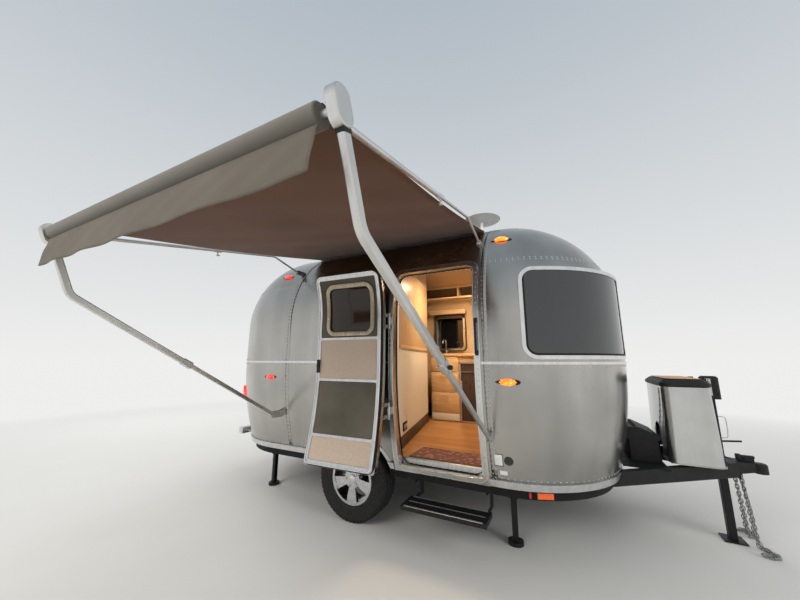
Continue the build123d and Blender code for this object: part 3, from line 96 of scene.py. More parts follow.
def feed(node, sockets):  # each socket takes a link, a colour or a number
    for key, value in sockets.items():
        socket = node.inputs[key]
        if isinstance(value, bpy.types.NodeSocket):
            node.id_data.links.new(value, socket)
        else:
            socket.default_value = (*value, 1) if socket.type == "RGBA" else value


def addNode(tree, kind, sockets=None, **values):
    made = tree.nodes.new("ShaderNode" + kind)
    for key, value in values.items():
        setattr(made, key, value)
    feed(made, sockets or {})
    return made


def coordinates(tree, stretch=(1, 1, 1), source="Object"):
    place = addNode(tree, "TexCoord").outputs[source]
    return addNode(tree, "Mapping", {"Scale": stretch, "Vector": place}).outputs["Vector"]


def noise(tree, vector, scale, detail=4, rough=0.55):
    sockets = {"Scale": scale, "Detail": detail, "Roughness": rough, "Vector": vector}
    return addNode(tree, "TexNoise", sockets).outputs["Fac"]


def wave(tree, vector, scale, direction):
    sockets = {"Scale": scale, "Distortion": 0, "Vector": vector}
    return addNode(tree, "TexWave", sockets, wave_type="BANDS", bands_direction=direction).outputs["Fac"]


def spread(tree, value, low, high, start=0.3, end=0.7):  # a value stretched over a new range
    sockets = {"From Min": start, "From Max": end, "To Min": low, "To Max": high, "Value": value}
    return addNode(tree, "MapRange", sockets).outputs["Result"]


def maths(tree, operation, *values):
    return addNode(tree, "Math", dict(enumerate(values)), operation=operation).outputs[0]


def mixed(tree, factor, first, second):  # first where the factor is 0, second where it is 1
    return addNode(tree, "Mix", {0: factor, 6: first, 7: second}, data_type="RGBA").outputs[2]


def bump(tree, shader, height, strength, distance, below=None):
    sockets = {"Strength": strength, "Distance": distance, "Height": height}
    if below is not None:
        sockets["Normal"] = below
    made = addNode(tree, "Bump", sockets).outputs["Normal"]
    feed(shader, {"Normal": made})
    return made


def startMaterial(name, sockets):
    material = bpy.data.materials.new(name)
    material.use_nodes = True
    shader = material.node_tree.nodes["Principled BSDF"]
    feed(shader, sockets)
    return material, material.node_tree, shader


# Each grained finish: light and dark tone, roughness from and to, grain size, stretch, bump height, sockets
metal = {"Metallic": 1.0}
plastic = {"Specular IOR Level": 0.45}
dull = {"Specular IOR Level": 0.3}
grainedFinishes = {
    "brightTrim": ((0.80, 0.80, 0.79), (0.66, 0.66, 0.65), (0.22, 0.36), 30, (1, 1, 0.3), 0.0002, metal),
    "frameMetal": ((0.72, 0.72, 0.71), (0.56, 0.56, 0.55), (0.26, 0.42), 34, (1, 1, 0.15), 0.0002, metal),
    "leafMetal": ((0.46, 0.39, 0.29), (0.30, 0.24, 0.16), (0.26, 0.42), 34, (1, 1, 0.15), 0.0002, metal),
    "rivetMetal": ((0.70, 0.70, 0.69), (0.50, 0.50, 0.49), (0.25, 0.4), 60, (1, 1, 1), 0.0001, metal),
    "awningTube": ((0.78, 0.77, 0.74), (0.62, 0.61, 0.59), (0.3, 0.45), 25, (1, 0.2, 0.2), 0.0002, metal),
    "castMetal": ((0.50, 0.50, 0.49), (0.36, 0.36, 0.35), (0.45, 0.6), 120, (1, 1, 1), 0.0006, metal),
    "chainSteel": ((0.52, 0.52, 0.51), (0.30, 0.29, 0.28), (0.35, 0.55), 90, (1, 1, 1), 0.0004, metal),
    "alloy": ((0.70, 0.70, 0.71), (0.55, 0.55, 0.56), (0.2, 0.34), 45, (1, 1, 1), 0.0002, metal),
    "blackSteel": ((0.014, 0.014, 0.014), (0.007, 0.007, 0.007), (0.4, 0.6), 70, (1, 1, 1), 0.0006, dull),
    "blackPlastic": ((0.015, 0.015, 0.016), (0.008, 0.008, 0.009), (0.45, 0.62), 140, (1, 1, 1), 0.0006, dull),
    # black rubber for the seals, also used for the black discs painted as shade in the strap's holes
    "blackRubberAndHoleShade": ((0.012, 0.012, 0.012), (0.007, 0.007, 0.007), (0.6, 0.75), 90, (1, 1, 1), 0.0005, dull),
    "tyreRubber": ((0.026, 0.025, 0.024), (0.012, 0.012, 0.012), (0.68, 0.85), 60, (1, 1, 1), 0.0008, dull),
    "underPan": ((0.010, 0.010, 0.010), (0.006, 0.006, 0.006), (0.6, 0.8), 18, (1, 1, 1), 0.001, dull),
    "whitePlastic": ((0.80, 0.80, 0.77), (0.70, 0.70, 0.67), (0.34, 0.48), 20, (1, 1, 1), 0.0003, plastic),
    "bottleSteel": ((0.80, 0.79, 0.76), (0.72, 0.71, 0.68), (0.25, 0.38), 30, (1, 1, 1), 0.0003, plastic),
    "doorPanel": ((0.60, 0.48, 0.38), (0.44, 0.34, 0.265), (0.5, 0.65), 150, (1, 1, 1), 0.0012, plastic),
    "tanPanel": ((0.58, 0.31, 0.13), (0.46, 0.23, 0.09), (0.4, 0.55), 12, (1, 5, 1), 0.0003, plastic),
    "wallPanel": ((0.80, 0.75, 0.66), (0.72, 0.67, 0.58), (0.4, 0.55), 50, (1, 1, 1), 0.0004, plastic),
    "maple": ((0.72, 0.50, 0.28), (0.56, 0.36, 0.18), (0.32, 0.45), 9, (7, 7, 0.7), 0.0003, plastic),
    "mapleLong": ((0.72, 0.50, 0.28), (0.56, 0.36, 0.18), (0.32, 0.45), 9, (0.7, 7, 7), 0.0003, plastic),
    "counterTop": ((0.62, 0.50, 0.34), (0.48, 0.37, 0.24), (0.25, 0.4), 240, (1, 1, 1), 0.0002, plastic),
    "darkInside": ((0.10, 0.060, 0.034), (0.070, 0.040, 0.022), (0.5, 0.7), 14, (1, 1, 1), 0.0002, plastic),
    "lensRed": ((0.55, 0.02, 0.015), (0.40, 0.01, 0.01), (0.12, 0.2), 90, (1, 1, 1), 0.0004, {"Coat Weight": 0.5}),
    "lensOrange": ((0.95, 0.16, 0.015), (0.80, 0.10, 0.008), (0.12, 0.2), 90, (1, 1, 1), 0.0004, {"Coat Weight": 0.5}),
    "fridgePanel": ((0.085, 0.05, 0.034), (0.055, 0.034, 0.024), (0.25, 0.4), 22, (4, 4, 1), 0.0002, plastic),
    "bedCloth": ((0.62, 0.58, 0.50), (0.50, 0.46, 0.39), (0.75, 0.9), 260, (1, 1, 1), 0.0012, {"Sheen Weight": 0.3}),
    "stickerInk": ((0.035, 0.035, 0.035), (0.02, 0.02, 0.02), (0.3, 0.4), 60, (1, 1, 1), 0.0001, plastic),
    "stickerPaper": ((0.80, 0.80, 0.78), (0.72, 0.72, 0.70), (0.35, 0.5), 80, (1, 1, 1), 0.0001, plastic),
}


def grained(name):
    light, dark, rough, size, stretch, height, sockets = grainedFinishes[name]
    material, tree, shader = startMaterial(name, sockets)
    vector = coordinates(tree, stretch)
    tone = spread(tree, noise(tree, vector, size), 0, 1)
    feed(shader, {"Base Color": mixed(tree, tone, dark, light),
                  "Roughness": spread(tree, noise(tree, vector, size * 0.3, 3), *rough)})
    bump(tree, shader, noise(tree, vector, size * 2, 3), 0.5, height)
    return material


finish = {name: grained(name) for name in grainedFinishes}

cladding = {
    "light": (0.52, 0.51, 0.485), "dark": (0.335, 0.325, 0.30), "lining": (0.60, 0.43, 0.26),
    "rough": (0.17, 0.30), "liningRough": 0.55, "streaks": 5.5, "waves": 1.5, "waveDepth": 0.0055,
}


def sheetMetal(name, light, dark, rough, lined):
    material, tree, shader = startMaterial(name, {"Metallic": 1.0, "Coat Weight": 0.15, "Coat Roughness": 0.12})
    streaked = coordinates(tree, (1, 1, 0.06))
    plain = coordinates(tree)
    tone = spread(tree, noise(tree, streaked, cladding["streaks"], 3, 0.4), 0, 1)
    cloud = spread(tree, noise(tree, plain, 2.2, 3), 0, 1)
    blend = maths(tree, "MULTIPLY_ADD", tone, 0.5, maths(tree, "MULTIPLY", cloud, 0.5))
    colour = mixed(tree, blend, dark, light)
    roughness = spread(tree, noise(tree, streaked, cladding["streaks"] * 0.4, 3), *rough)
    if lined:  # faces that look into the room carry the pale wall lining
        geometry = addNode(tree, "NewGeometry")
        middle = at((frontCentre + rearCentre) / 2, 0, shell["belt"])
        outward = addNode(tree, "VectorMath", {0: geometry.outputs["Position"], 1: middle}, operation="SUBTRACT")
        facing = addNode(tree, "VectorMath", {0: outward.outputs[0], 1: geometry.outputs["True Normal"]},
                         operation="DOT_PRODUCT")
        outside = maths(tree, "GREATER_THAN", facing.outputs["Value"], 0.0)
        colour = mixed(tree, outside, cladding["lining"], colour)
        lining = cladding["liningRough"]
        roughness = maths(tree, "MAXIMUM", roughness, maths(tree, "MULTIPLY_ADD", outside, -lining, lining))
        feed(shader, {"Metallic": outside})
    feed(shader, {"Base Color": colour, "Roughness": roughness})
    slow = bump(tree, shader, noise(tree, plain, cladding["waves"], 2, 0.4), 0.5, cladding["waveDepth"])
    bump(tree, shader, noise(tree, streaked, cladding["streaks"] * 2, 2), 0.1, 0.0001, slow)
    return material


finish["cladding"] = sheetMetal("cladding", cladding["light"], cladding["dark"], cladding["rough"], True)
finish["sheet"] = sheetMetal("sheet", cladding["light"], cladding["dark"], cladding["rough"], False)
finish["gasSheet"] = sheetMetal("gasSheet", (0.66, 0.66, 0.64), (0.46, 0.46, 0.45), (0.24, 0.38), False)

glazing = {
    "windowGlass": {"tint": (0.007, 0.008, 0.010), "through": 0.04, "rough": 0.04, "bend": 1.8},
    "doorGlass": {"tint": (0.026, 0.014, 0.008), "through": 0.1, "rough": 0.10, "bend": 1.4},
}


def glassMaterial(name, tint, through, rough, bend):
    material, tree, shader = startMaterial(name, {
        "Transmission Weight": through, "IOR": bend, "Coat Weight": 0.15, "Coat Roughness": 0.03})
    vector = coordinates(tree)
    haze = spread(tree, noise(tree, vector, 3.5, 3), 0.8, 1.15)
    feed(shader, {"Base Color": mixed(tree, haze, tuple(0.7 * c for c in tint), tint),
                  "Roughness": spread(tree, noise(tree, vector, 8, 2), rough, rough + 0.05)})
    bump(tree, shader, noise(tree, vector, 1.6, 1), 0.3, 0.004)
    return material


for name, values in glazing.items():
    finish[name] = glassMaterial(name, **values)

lenses = {
    "amberLens": {"base": (0.90, 0.28, 0.03), "glow": (1.0, 0.50, 0.12), "edge": (0.9, 0.12, 0.0), "power": 1.5},
    "redLens": {"base": (0.70, 0.03, 0.02), "glow": (1.0, 0.25, 0.20), "edge": (0.8, 0.01, 0.01), "power": 1.2},
}


def lensMaterial(name, base, glow, edge, power):
    material, tree, shader = startMaterial(name, {
        "Base Color": base, "Roughness": 0.15, "Emission Strength": power, "Coat Weight": 0.5})
    cells = addNode(tree, "TexVoronoi", {"Scale": 42, "Vector": coordinates(tree)})
    spot = spread(tree, cells.outputs["Distance"], 1, 0, 0.1, 0.6)
    feed(shader, {"Emission Color": mixed(tree, spot, edge, glow)})
    bump(tree, shader, wave(tree, coordinates(tree), 90, "X"), 0.4, 0.0008)
    return material


for name, values in lenses.items():
    finish[name] = lensMaterial(name, **values)

cloths = {
    # the awning cloth's dark red-brown is partly its own brown and partly painted shade and painted warm light, taken
    # from its shaded underside
    "awningCloth": {"light": (0.150, 0.060, 0.026), "dark": (0.100, 0.038, 0.016), "threads": 420, "source": "UV"},
    "valanceCloth": {"light": (0.130, 0.110, 0.084), "dark": (0.090, 0.075, 0.057), "threads": 420, "source": "UV"},
    "rollerCloth": {"light": (0.165, 0.152, 0.13), "dark": (0.110, 0.102, 0.086), "threads": 300, "source": "Object"},
    "screenMesh": {"light": (0.155, 0.136, 0.104), "dark": (0.075, 0.065, 0.048), "threads": 500, "source": "Object"},
}


def clothMaterial(name, light, dark, threads, source):
    material, tree, shader = startMaterial(name, {"Sheen Weight": 0.15, "Specular IOR Level": 0.2})
    vector = coordinates(tree, source=source)
    across = wave(tree, vector, threads / 2, "X")
    along = wave(tree, vector, threads / 2, "Y" if source == "UV" else "Z")
    weave = maths(tree, "MULTIPLY", across, along)
    cloud = spread(tree, noise(tree, vector, 2.5, 5), 0, 0.7)
    tone = maths(tree, "ADD", cloud, maths(tree, "MULTIPLY", weave, 0.35))
    feed(shader, {"Base Color": mixed(tree, tone, dark, light), "Roughness": spread(tree, weave, 0.75, 0.92, 0, 1)})
    bump(tree, shader, weave, 0.5, 0.0006)
    return material


for name, values in cloths.items():
    finish[name] = clothMaterial(name, **values)

planks = {"light": (0.50, 0.25, 0.09), "dark": (0.36, 0.16, 0.055), "gap": (0.16, 0.07, 0.03), "width": 0.088}


def plankMaterial():
    material, tree, shader = startMaterial("planks", {"Coat Weight": 0.3, "Coat Roughness": 0.2})
    bricks = addNode(tree, "TexBrick", {
        "Scale": 1, "Mortar Size": 0.0012, "Brick Width": 0.9, "Row Height": planks["width"], "Color1": planks["light"],
        "Color2": planks["dark"], "Mortar": planks["gap"], "Vector": coordinates(tree)}, offset=0.37)
    grain = spread(tree, noise(tree, coordinates(tree, (1.2, 24, 24)), 4, 6), 0, 0.45)
    feed(shader, {"Base Color": mixed(tree, grain, bricks.outputs["Color"], planks["dark"]),
                  "Roughness": spread(tree, grain, 0.3, 0.45, 0, 0.45)})
    bump(tree, shader, bricks.outputs["Fac"], -0.5, 0.001)
    return material


finish["planks"] = plankMaterial()

matLooks = {"light": (0.46, 0.15, 0.05), "dark": (0.12, 0.020, 0.008), "leaf": 26}


def matMaterial():
    material, tree, shader = startMaterial("matPile", {"Sheen Weight": 0.2, "Roughness": 0.92})
    vector = coordinates(tree)
    swirl = addNode(tree, "TexVoronoi", {"Scale": matLooks["leaf"], "Vector": vector}, feature="SMOOTH_F1")
    leaves = spread(tree, swirl.outputs["Distance"], 0, 1, 0.28, 0.42)
    fleck = spread(tree, noise(tree, vector, 120, 2), 0, 0.35)
    tone = maths(tree, "ADD", leaves, fleck)
    feed(shader, {"Base Color": mixed(tree, tone, matLooks["light"], matLooks["dark"])})
    bump(tree, shader, noise(tree, vector, 420, 2), 0.8, 0.003)
    return material


finish["matPile"] = matMaterial()
print("finishes made:", len(finish))

nodeFinish = {
    "cladding": ("curb_wall_lower", "curb_wall_upper", "road_wall_lower", "road_wall_upper", "roof_panel",
                 "front_cap_lower", "front_cap_upper", "rear_cap_lower", "rear_cap_upper"),
    "blackSteel": ("chassis_frame", "draw_bar", "coupler", "jack_housing", "jack_leg", "axle", "entry_step",
                   "underbody_mounts", "leg_front_curb", "leg_front_road", "leg_rear_curb", "leg_rear_road"),
    "awningTube": ("awning_arms_inner", "awning_arms_outer", "awning_rafters_inner", "awning_rafters_outer"),
    "frameMetal": ("side_hatches", "door_frame", "screen_door", "awning_mounts"),
    "brightTrim": ("body_mouldings", "window_frames", "rear_bumper"),
    "whitePlastic": ("roof_fittings", "roof_vent_lid", "roof_dish"), "blackPlastic": ("gas_cover_lid", "battery_box"),
    "tyreRubber": ("wheel_curb_tyre", "wheel_road_tyre"), "alloy": ("wheel_curb_rim", "wheel_road_rim"),
    "windowGlass": ("window_glass",), "doorGlass": ("entry_door_glass",), "sheet": ("entry_door",),
    "doorPanel": ("screen_door_panels",), "screenMesh": ("screen_door_mesh",), "rollerCloth": ("awning_roller",),
    "amberLens": ("amber_lamps",), "redLens": ("red_lamps",), "gasSheet": ("gas_cover",),
    "bottleSteel": ("gas_bottles",), "underPan": ("belly_pan",), "planks": ("floor",),
    "wallPanel": ("interior_panels",), "maple": ("kitchen_cabinets",), "counterTop": ("kitchen_counter",),
    "fridgePanel": ("fridge",),
}
for look, names in nodeFinish.items():
    for name in names:
        holder = nodes[name]
        if not holder.material_slots:
            holder.data.materials.append(finish[look])
        for place in holder.material_slots:
            place.material = finish[look]
print("finishes given to", sum(len(names) for names in nodeFinish.values()), "CAD nodes")


# Making pieces

def meshOf(name, bm):
    mesh = bpy.data.meshes.new(name)
    bm.to_mesh(mesh)
    bm.free()
    return mesh


def intoScene(name, data):
    made = bpy.data.objects.new(name, data)
    bpy.context.scene.collection.objects.link(made)
    return made


def toPiece(name, bm, look, body="root", slot=None, smooth=40, tidy=False):
    if tidy:
        bmesh.ops.remove_doubles(bm, verts=bm.verts, dist=0.00002)
        bmesh.ops.recalc_face_normals(bm, faces=bm.faces)
    mesh = meshOf(name, bm)
    for polygon in mesh.polygons:
        polygon.use_smooth = True
    mesh.set_sharp_from_angle(angle=radians(smooth))
    mesh.materials.append(finish[look])
    piece = intoScene(name, mesh)
    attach(piece, body)
    return piece


def thicken(piece, thickness, offset=-1):
    solid = piece.modifiers.new("Thickness", "SOLIDIFY")
    solid.thickness = thickness
    solid.offset = offset


def addBlock(bm, low, high, edge, place=toRow):
    low, high = Vector(low), Vector(high)
    stand = place @ Matrix.Translation((low + high) / 2) @ Matrix.Diagonal((*(high - low), 1))
    made = bmesh.ops.create_cube(bm, size=1, matrix=stand)
    if edge:
        edges = list({e for v in made["verts"] for e in v.link_edges})
        bmesh.ops.bevel(bm, geom=edges, offset=edge, segments=2, profile=0.5, affect="EDGES", material=-1)


def addRound(bm, base, direction, radius, tip, length, sides):  # a tapered round standing on a point
    turn = Vector(direction).to_track_quat("Z", "Y").to_matrix().to_4x4()
    stand = Matrix.Translation(Vector(base)) @ turn @ Matrix.Translation((0, 0, length / 2))
    bmesh.ops.create_cone(bm, cap_ends=True, segments=sides, radius1=radius, radius2=tip, depth=length,
                          matrix=stand)


def addPart(bm, part, place):  # a part is placed, turned face out and moved into the piece
    bmesh.ops.transform(part, matrix=place, verts=part.verts)
    bmesh.ops.recalc_face_normals(part, faces=part.faces)
    mesh = meshOf("part", part)
    bm.from_mesh(mesh)
    bpy.data.meshes.remove(mesh)


def addHoop(bm, radius, wire, sides, steps, pull, place):  # a round of wire in x and y, pulled out along y
    part = bmesh.new()
    ring = bmesh.ops.create_circle(part, segments=sides, radius=wire)["verts"]
    bmesh.ops.rotate(part, verts=ring, cent=(0, 0, 0), matrix=Matrix.Rotation(pi / 2, 3, "X"))
    bmesh.ops.translate(part, verts=ring, vec=(radius, 0, 0))
    edges = list({e for v in ring for e in v.link_edges})
    bmesh.ops.spin(part, geom=ring + edges, cent=(0, 0, 0), axis=(0, 0, 1), dvec=(0, 0, 0), angle=2 * pi,
                   steps=steps, use_merge=True)
    for v in part.verts:
        v.co.y += pull if v.co.y > 0 else -pull
    addPart(bm, part, place)


def partsPiece(name, look, blocks=(), rounds=(), place=toRow, **how):  # a piece made of blocks and rounds
    bm = bmesh.new()
    for low, high, edge in blocks:
        addBlock(bm, low, high, edge, place)
    for base, direction, *sizes in rounds:
        addRound(bm, place @ Vector(base), place.to_3x3() @ Vector(direction), *sizes)
    return toPiece(name, bm, look, **how)


def vertsOf(geom):
    return [g for g in geom if isinstance(g, bmesh.types.BMVert)]


def edgesOf(geom):
    return [g for g in geom if isinstance(g, bmesh.types.BMEdge)]


def extrudeEdges(bm, edges, move):
    made = bmesh.ops.extrude_edge_only(bm, edges=edges)["geom"]
    bmesh.ops.translate(bm, verts=vertsOf(made), vec=move)
    return made


def extrudeFaces(bm, move):  # all faces of a sheet; the far side's vertices come back
    far = vertsOf(bmesh.ops.extrude_face_region(bm, geom=bm.faces[:])["geom"])
    bmesh.ops.translate(bm, verts=far, vec=move)
    return far


def roundedFace(bm, points, corner):
    corners = [bm.verts.new(point) for point in points]
    bm.faces.new(corners)
    bmesh.ops.bevel(bm, geom=corners, offset=corner, segments=8, profile=0.5, affect="VERTICES", material=-1)


def isStraight(edge):  # upright or level
    step = edge.verts[0].co - edge.verts[1].co
    return min(abs(step.x), abs(step.z)) < 1e-5


def outline(edges, corner, cuts):  # a rounded upright plate in x and z, at y = 0
    x0, x1, z0, z1 = edges
    bm = bmesh.new()
    roundedFace(bm, ((x0, 0, z0), (x1, 0, z0), (x1, 0, z1), (x0, 0, z1)), corner)
    bmesh.ops.subdivide_edges(bm, edges=[e for e in bm.edges if isStraight(e)], cuts=cuts)
    return bm


def frameRing(edges, corner, width, depth, cuts=12):  # an outline with its middle cut out
    bm = outline(edges, corner, cuts)
    inner = bm.faces[:][0]
    bmesh.ops.inset_region(bm, faces=[inner], thickness=width, use_boundary=True, use_even_offset=True)
    bmesh.ops.delete(bm, geom=[inner], context="FACES_ONLY")
    extrudeFaces(bm, (0, depth, 0))
    return bm


def softenEdges(bm, offset=0.0014):
    bmesh.ops.remove_doubles(bm, verts=bm.verts, dist=0.00001)
    bmesh.ops.recalc_face_normals(bm, faces=bm.faces)
    sharp = [e for e in bm.edges if e.is_manifold and e.calc_face_angle() > 1]
    bmesh.ops.bevel(bm, geom=sharp, offset=offset, segments=2, profile=0.5, affect="EDGES", material=-1)


def wrapSide(bm, side, move):  # y, the depth from the skin, becomes the place on the curved side
    for v in bm.verts:
        v.co.y = side * (halfFlat + radiusAt(v.co.z, v.co.y))
    bmesh.ops.transform(bm, matrix=toRow @ move, verts=bm.verts)


def trimRing(name, edges, corner, width, depths, look, body="root", move=Matrix.Identity(4), side=-1):
    bm = frameRing(edges, corner, width, depths[1] - depths[0])
    bmesh.ops.translate(bm, verts=bm.verts, vec=(0, depths[0], 0))
    softenEdges(bm)
    wrapSide(bm, side, move)
    return toPiece(name, bm, look, body, tidy=True)


def inset(edges, by):
    x0, x1, z0, z1 = edges
    return x0 + by, x1 - by, z0 + by, z1 - by


def curveMesh(points, resolution, radius=0.0):  # a smooth curve near the points, as a line or a round bar
    curve = bpy.data.curves.new("line", "CURVE")
    curve.dimensions = "3D"
    curve.bevel_depth = radius
    curve.bevel_resolution = 3
    curve.resolution_u = resolution
    curve.use_fill_caps = True
    spline = curve.splines.new("NURBS")
    spline.points.add(len(points) - 1)
    for place, point in zip(spline.points, points):
        place.co = (*at(*point), 1)
    spline.order_u = 3
    spline.use_endpoint_u = True
    holder = bpy.data.objects.new("line", curve)
    mesh = bpy.data.meshes.new_from_object(holder)
    bpy.data.objects.remove(holder)
    return mesh


def rod(name, points, radius, look):
    bm = bmesh.new()
    bm.from_mesh(curveMesh(points, 6, radius))
    return toPiece(name, bm, look, tidy=True)


# Riveted seams

rivets = {"radius": 0.0066, "tip": 0.0036, "height": 0.0032, "sides": 7, "sunk": 0.0004, "pitch": 0.036, "row": 0.011,
          "smooth": 80}
rivetRings = {"spacing": 1.15, "rows": (("belt", -0.02), ("belt", 0.02), ("roofSeam", -0.008), ("roofSeam", 0.01),
                                        ("skirt", 0.062))}
sideWindows = ((-0.07, 0.40, 1.465, 1.995), (0.86, 1.13, 1.465, 1.995))
endWindow = {"turns": (6, 76.7), "low": 1.33, "high": 1.975, "frontFrom": 1.31, "rearDeep": 0.1}
keepClear = {"margin": 0.012, "archRadius": 0.40, "doorSide": -0.6, "archSide": 0.9, "roadSide": 1}


def skinAt(x, side, z):  # point and outward normal on the skin, round the corners too
    radius = radiusAt(z)
    centre = min(max(x, rearCentre), frontCentre)
    turn = asin(max(-1, min(1, (x - centre) / max(radius, 0.001))))
    rise = riseAt(z)
    point = at(centre + radius * sin(turn), side * (halfFlat + radius * cos(turn)), z)
    return point, Vector((sin(turn) * cos(rise), side * cos(turn) * cos(rise), sin(rise)))


def skinStand(x, side, z, out=0.0):  # a frame on the skin: X along the body, Y up it, Z outwards
    point, normal = skinAt(x, side, z)
    along = Vector((0, 0, 1)).cross(normal).normalized()
    turn = Matrix((along, normal.cross(along), normal)).transposed().to_4x4()
    return Matrix.Translation(point + normal * out) @ turn


def ringPlaces(z, pitch):  # evenly spaced places round the body at a height, forwards from the door side's rear
    radius, rise = radiusAt(z), riseAt(z)
    runs = [frontCentre - rearCentre, radius * pi / 2, 2 * halfFlat, radius * pi / 2] * 2
    centres = ((rearCentre, -halfFlat), (frontCentre, -halfFlat), (frontCentre, halfFlat), (rearCentre, halfFlat))
    count = round(sum(runs) / pitch)
    places = []
    for index in range(count):
        along = sum(runs) * index / count
        step = 0
        while along > runs[step]:
            along -= runs[step]
            step += 1
        heading = (step // 2) * pi / 2
        turn, straight = (heading + along / radius, 0) if step % 2 else (heading, along)
        start = centres[(step // 2 + step % 2) % 4]
        x = start[0] + straight * cos(heading) + radius * sin(turn)
        y = start[1] + straight * sin(heading) - radius * cos(turn)
        places.append((at(x, y, z), Vector((sin(turn) * cos(rise), -cos(turn) * cos(rise), sin(rise)))))
    return places


def hoopPlaces(x, pitch):  # evenly spaced places over the body at one x, from skirt to skirt
    low = shell["tuck"] * asin((shell["belt"] - shell["skirt"]) / shell["tuck"])
    upright = shoulder - shell["belt"]
    bend = shell["corner"] * pi / 2
    half = low + upright + bend + halfFlat
    count = round(half / pitch)
    places = []
    for side in (1, -1):
        for index in range(count):
            s = half * (index + 0.5) / count
            if s < low:
                z = shell["belt"] - shell["tuck"] * sin((low - s) / shell["tuck"])
            elif s < low + upright:
                z = shell["belt"] + s - low
            elif s < low + upright + bend:
                z = shoulder + shell["corner"] * sin((s - low - upright) / shell["corner"])
            else:
                places.append((at(x, side * (half - s), shell["roof"]), Vector((0, 0, 1))))
                continue
            places.append(skinAt(x, side, z))
    return places


def isClear(point, margin=keepClear["margin"]):  # false in the doorway, the windows and the wheel arches
    x, y, z = point - shift
    doorAcross = doorway["rear"] - margin < x < doorway["front"] + margin
    if y < keepClear["doorSide"] and doorAcross and z < doorway["high"] + margin:
        return False
    fromAxle = sqrt(x ** 2 + (z - wheels["height"]) ** 2)
    if abs(y) > keepClear["archSide"] and fromAxle < keepClear["archRadius"] + margin:
        return False
    for x0, x1, z0, z1 in sideWindows:
        if y > keepClear["roadSide"] and x0 - margin < x < x1 + margin and z0 - margin < z < z1 + margin:
            return False
    atRear = x < shell["rear"] + endWindow["rearDeep"] and abs(y) < halfFlat
    level = endWindow["low"] - margin < z < endWindow["high"] + margin
    return not (level and (x > endWindow["frontFrom"] or atRear))


def rivetPiece(name, places):
    bm = bmesh.new()
    for point, normal in places:
        if isClear(point):
            addRound(bm, point - normal * rivets["sunk"], normal, rivets["radius"], rivets["tip"], rivets["height"],
                     rivets["sides"])
    print(name, len(bm.verts) // (2 * rivets["sides"]), "rivets")
    toPiece(name, bm, "rivetMetal", slot="body_skin", smooth=rivets["smooth"])


hoops = []
for x in shell["seams"]:
    for step in (-rivets["row"], rivets["row"]):
        hoops += hoopPlaces(x + step, rivets["pitch"])
rivetPiece("seamRivets", hoops)
rings = []
for level, step in rivetRings["rows"]:
    rings += ringPlaces(shell[level] + step, rivets["pitch"] * rivetRings["spacing"])
rivetPiece("beltRivets", rings)

strips = {"width": 0.040, "thick": 0.0014, "over": 0.05, "past": 0.02, "steps": (10, 24)}


def spinEdges(bm, geom, x, side, y, z, angle, steps):  # over the side, and the last row comes back
    return edgesOf(bmesh.ops.spin(bm, geom=geom, cent=at(x, side * y, z), axis=(side, 0, 0), dvec=(0, 0, 0),
                                  angle=angle, steps=steps)["geom_last"])


def seamStrip(name, x):  # the lapped edge of the sheets, run over the body from skirt to skirt
    bm = bmesh.new()
    foot = shell["skirt"] + strips["over"]
    half = Vector((strips["width"] / 2, 0, 0))
    for side in (-1, 1):
        start, _ = skinAt(x, side, foot)
        edge = bm.edges.new([bm.verts.new(start - half), bm.verts.new(start + half)])
        rise = asin((shell["belt"] - foot) / shell["tuck"])
        tucked = spinEdges(bm, [edge, *edge.verts], x, side, halfFlat + shell["corner"] - shell["tuck"], shell["belt"],
                           rise, strips["steps"][0])
        raised = edgesOf(extrudeEdges(bm, tucked, (0, 0, shoulder - shell["belt"])))
        upper = [e for e in raised if all(abs(v.co.z - shoulder) < 0.0001 for v in e.verts)]
        bent = spinEdges(bm, upper + list(upper[0].verts), x, side, halfFlat, shoulder, pi / 2, strips["steps"][1])
        extrudeEdges(bm, bent, (0, -side * halfFlat, 0))
    bmesh.ops.remove_doubles(bm, verts=bm.verts, dist=0.0005)
    covered = [f for f in bm.faces if not isClear(f.calc_center_median(), -strips["past"])]
    bmesh.ops.delete(bm, geom=covered, context="FACES")
    bmesh.ops.recalc_face_normals(bm, faces=bm.faces)
    thicken(toPiece(name, bm, "sheet"), strips["thick"], 1)


for name, x in zip(("frontSeamStrip", "rearSeamStrip"), shell["seams"]):
    seamStrip(name, x)
print("seams riveted")

# Awning cloth and valance

awning = {"sag": 0.035, "drawIn": 0.012, "ripple": 0.004, "lift": 0.0015, "thick": 0.0012, "keep": 0.13}
valance = {"drop": 0.168, "wave": 0.006, "waves": 5, "crease": 0.0015, "top": 1.978, "lean": 0.024, "keep": 0.12}
clothLow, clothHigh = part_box("awning_fabric")


def cutCloth(rows, columns):  # a flat cloth, 1 each way about the middle, with its cut as UV
    bm = bmesh.new()
    bm.loops.layers.uv.new("cut")
    bmesh.ops.create_grid(bm, x_segments=columns, y_segments=rows, size=0.5, calc_uvs=True)
    return bm


def sewCloth(name, bm, look, body, size):
    piece = toPiece(name, bm, look, body, smooth=180, tidy=True)
    for loop in piece.data.uv_layers[0].data:
        loop.uv = (loop.uv.x * size[0], loop.uv.y * size[1])
    thicken(piece, awning["thick"])
    return piece


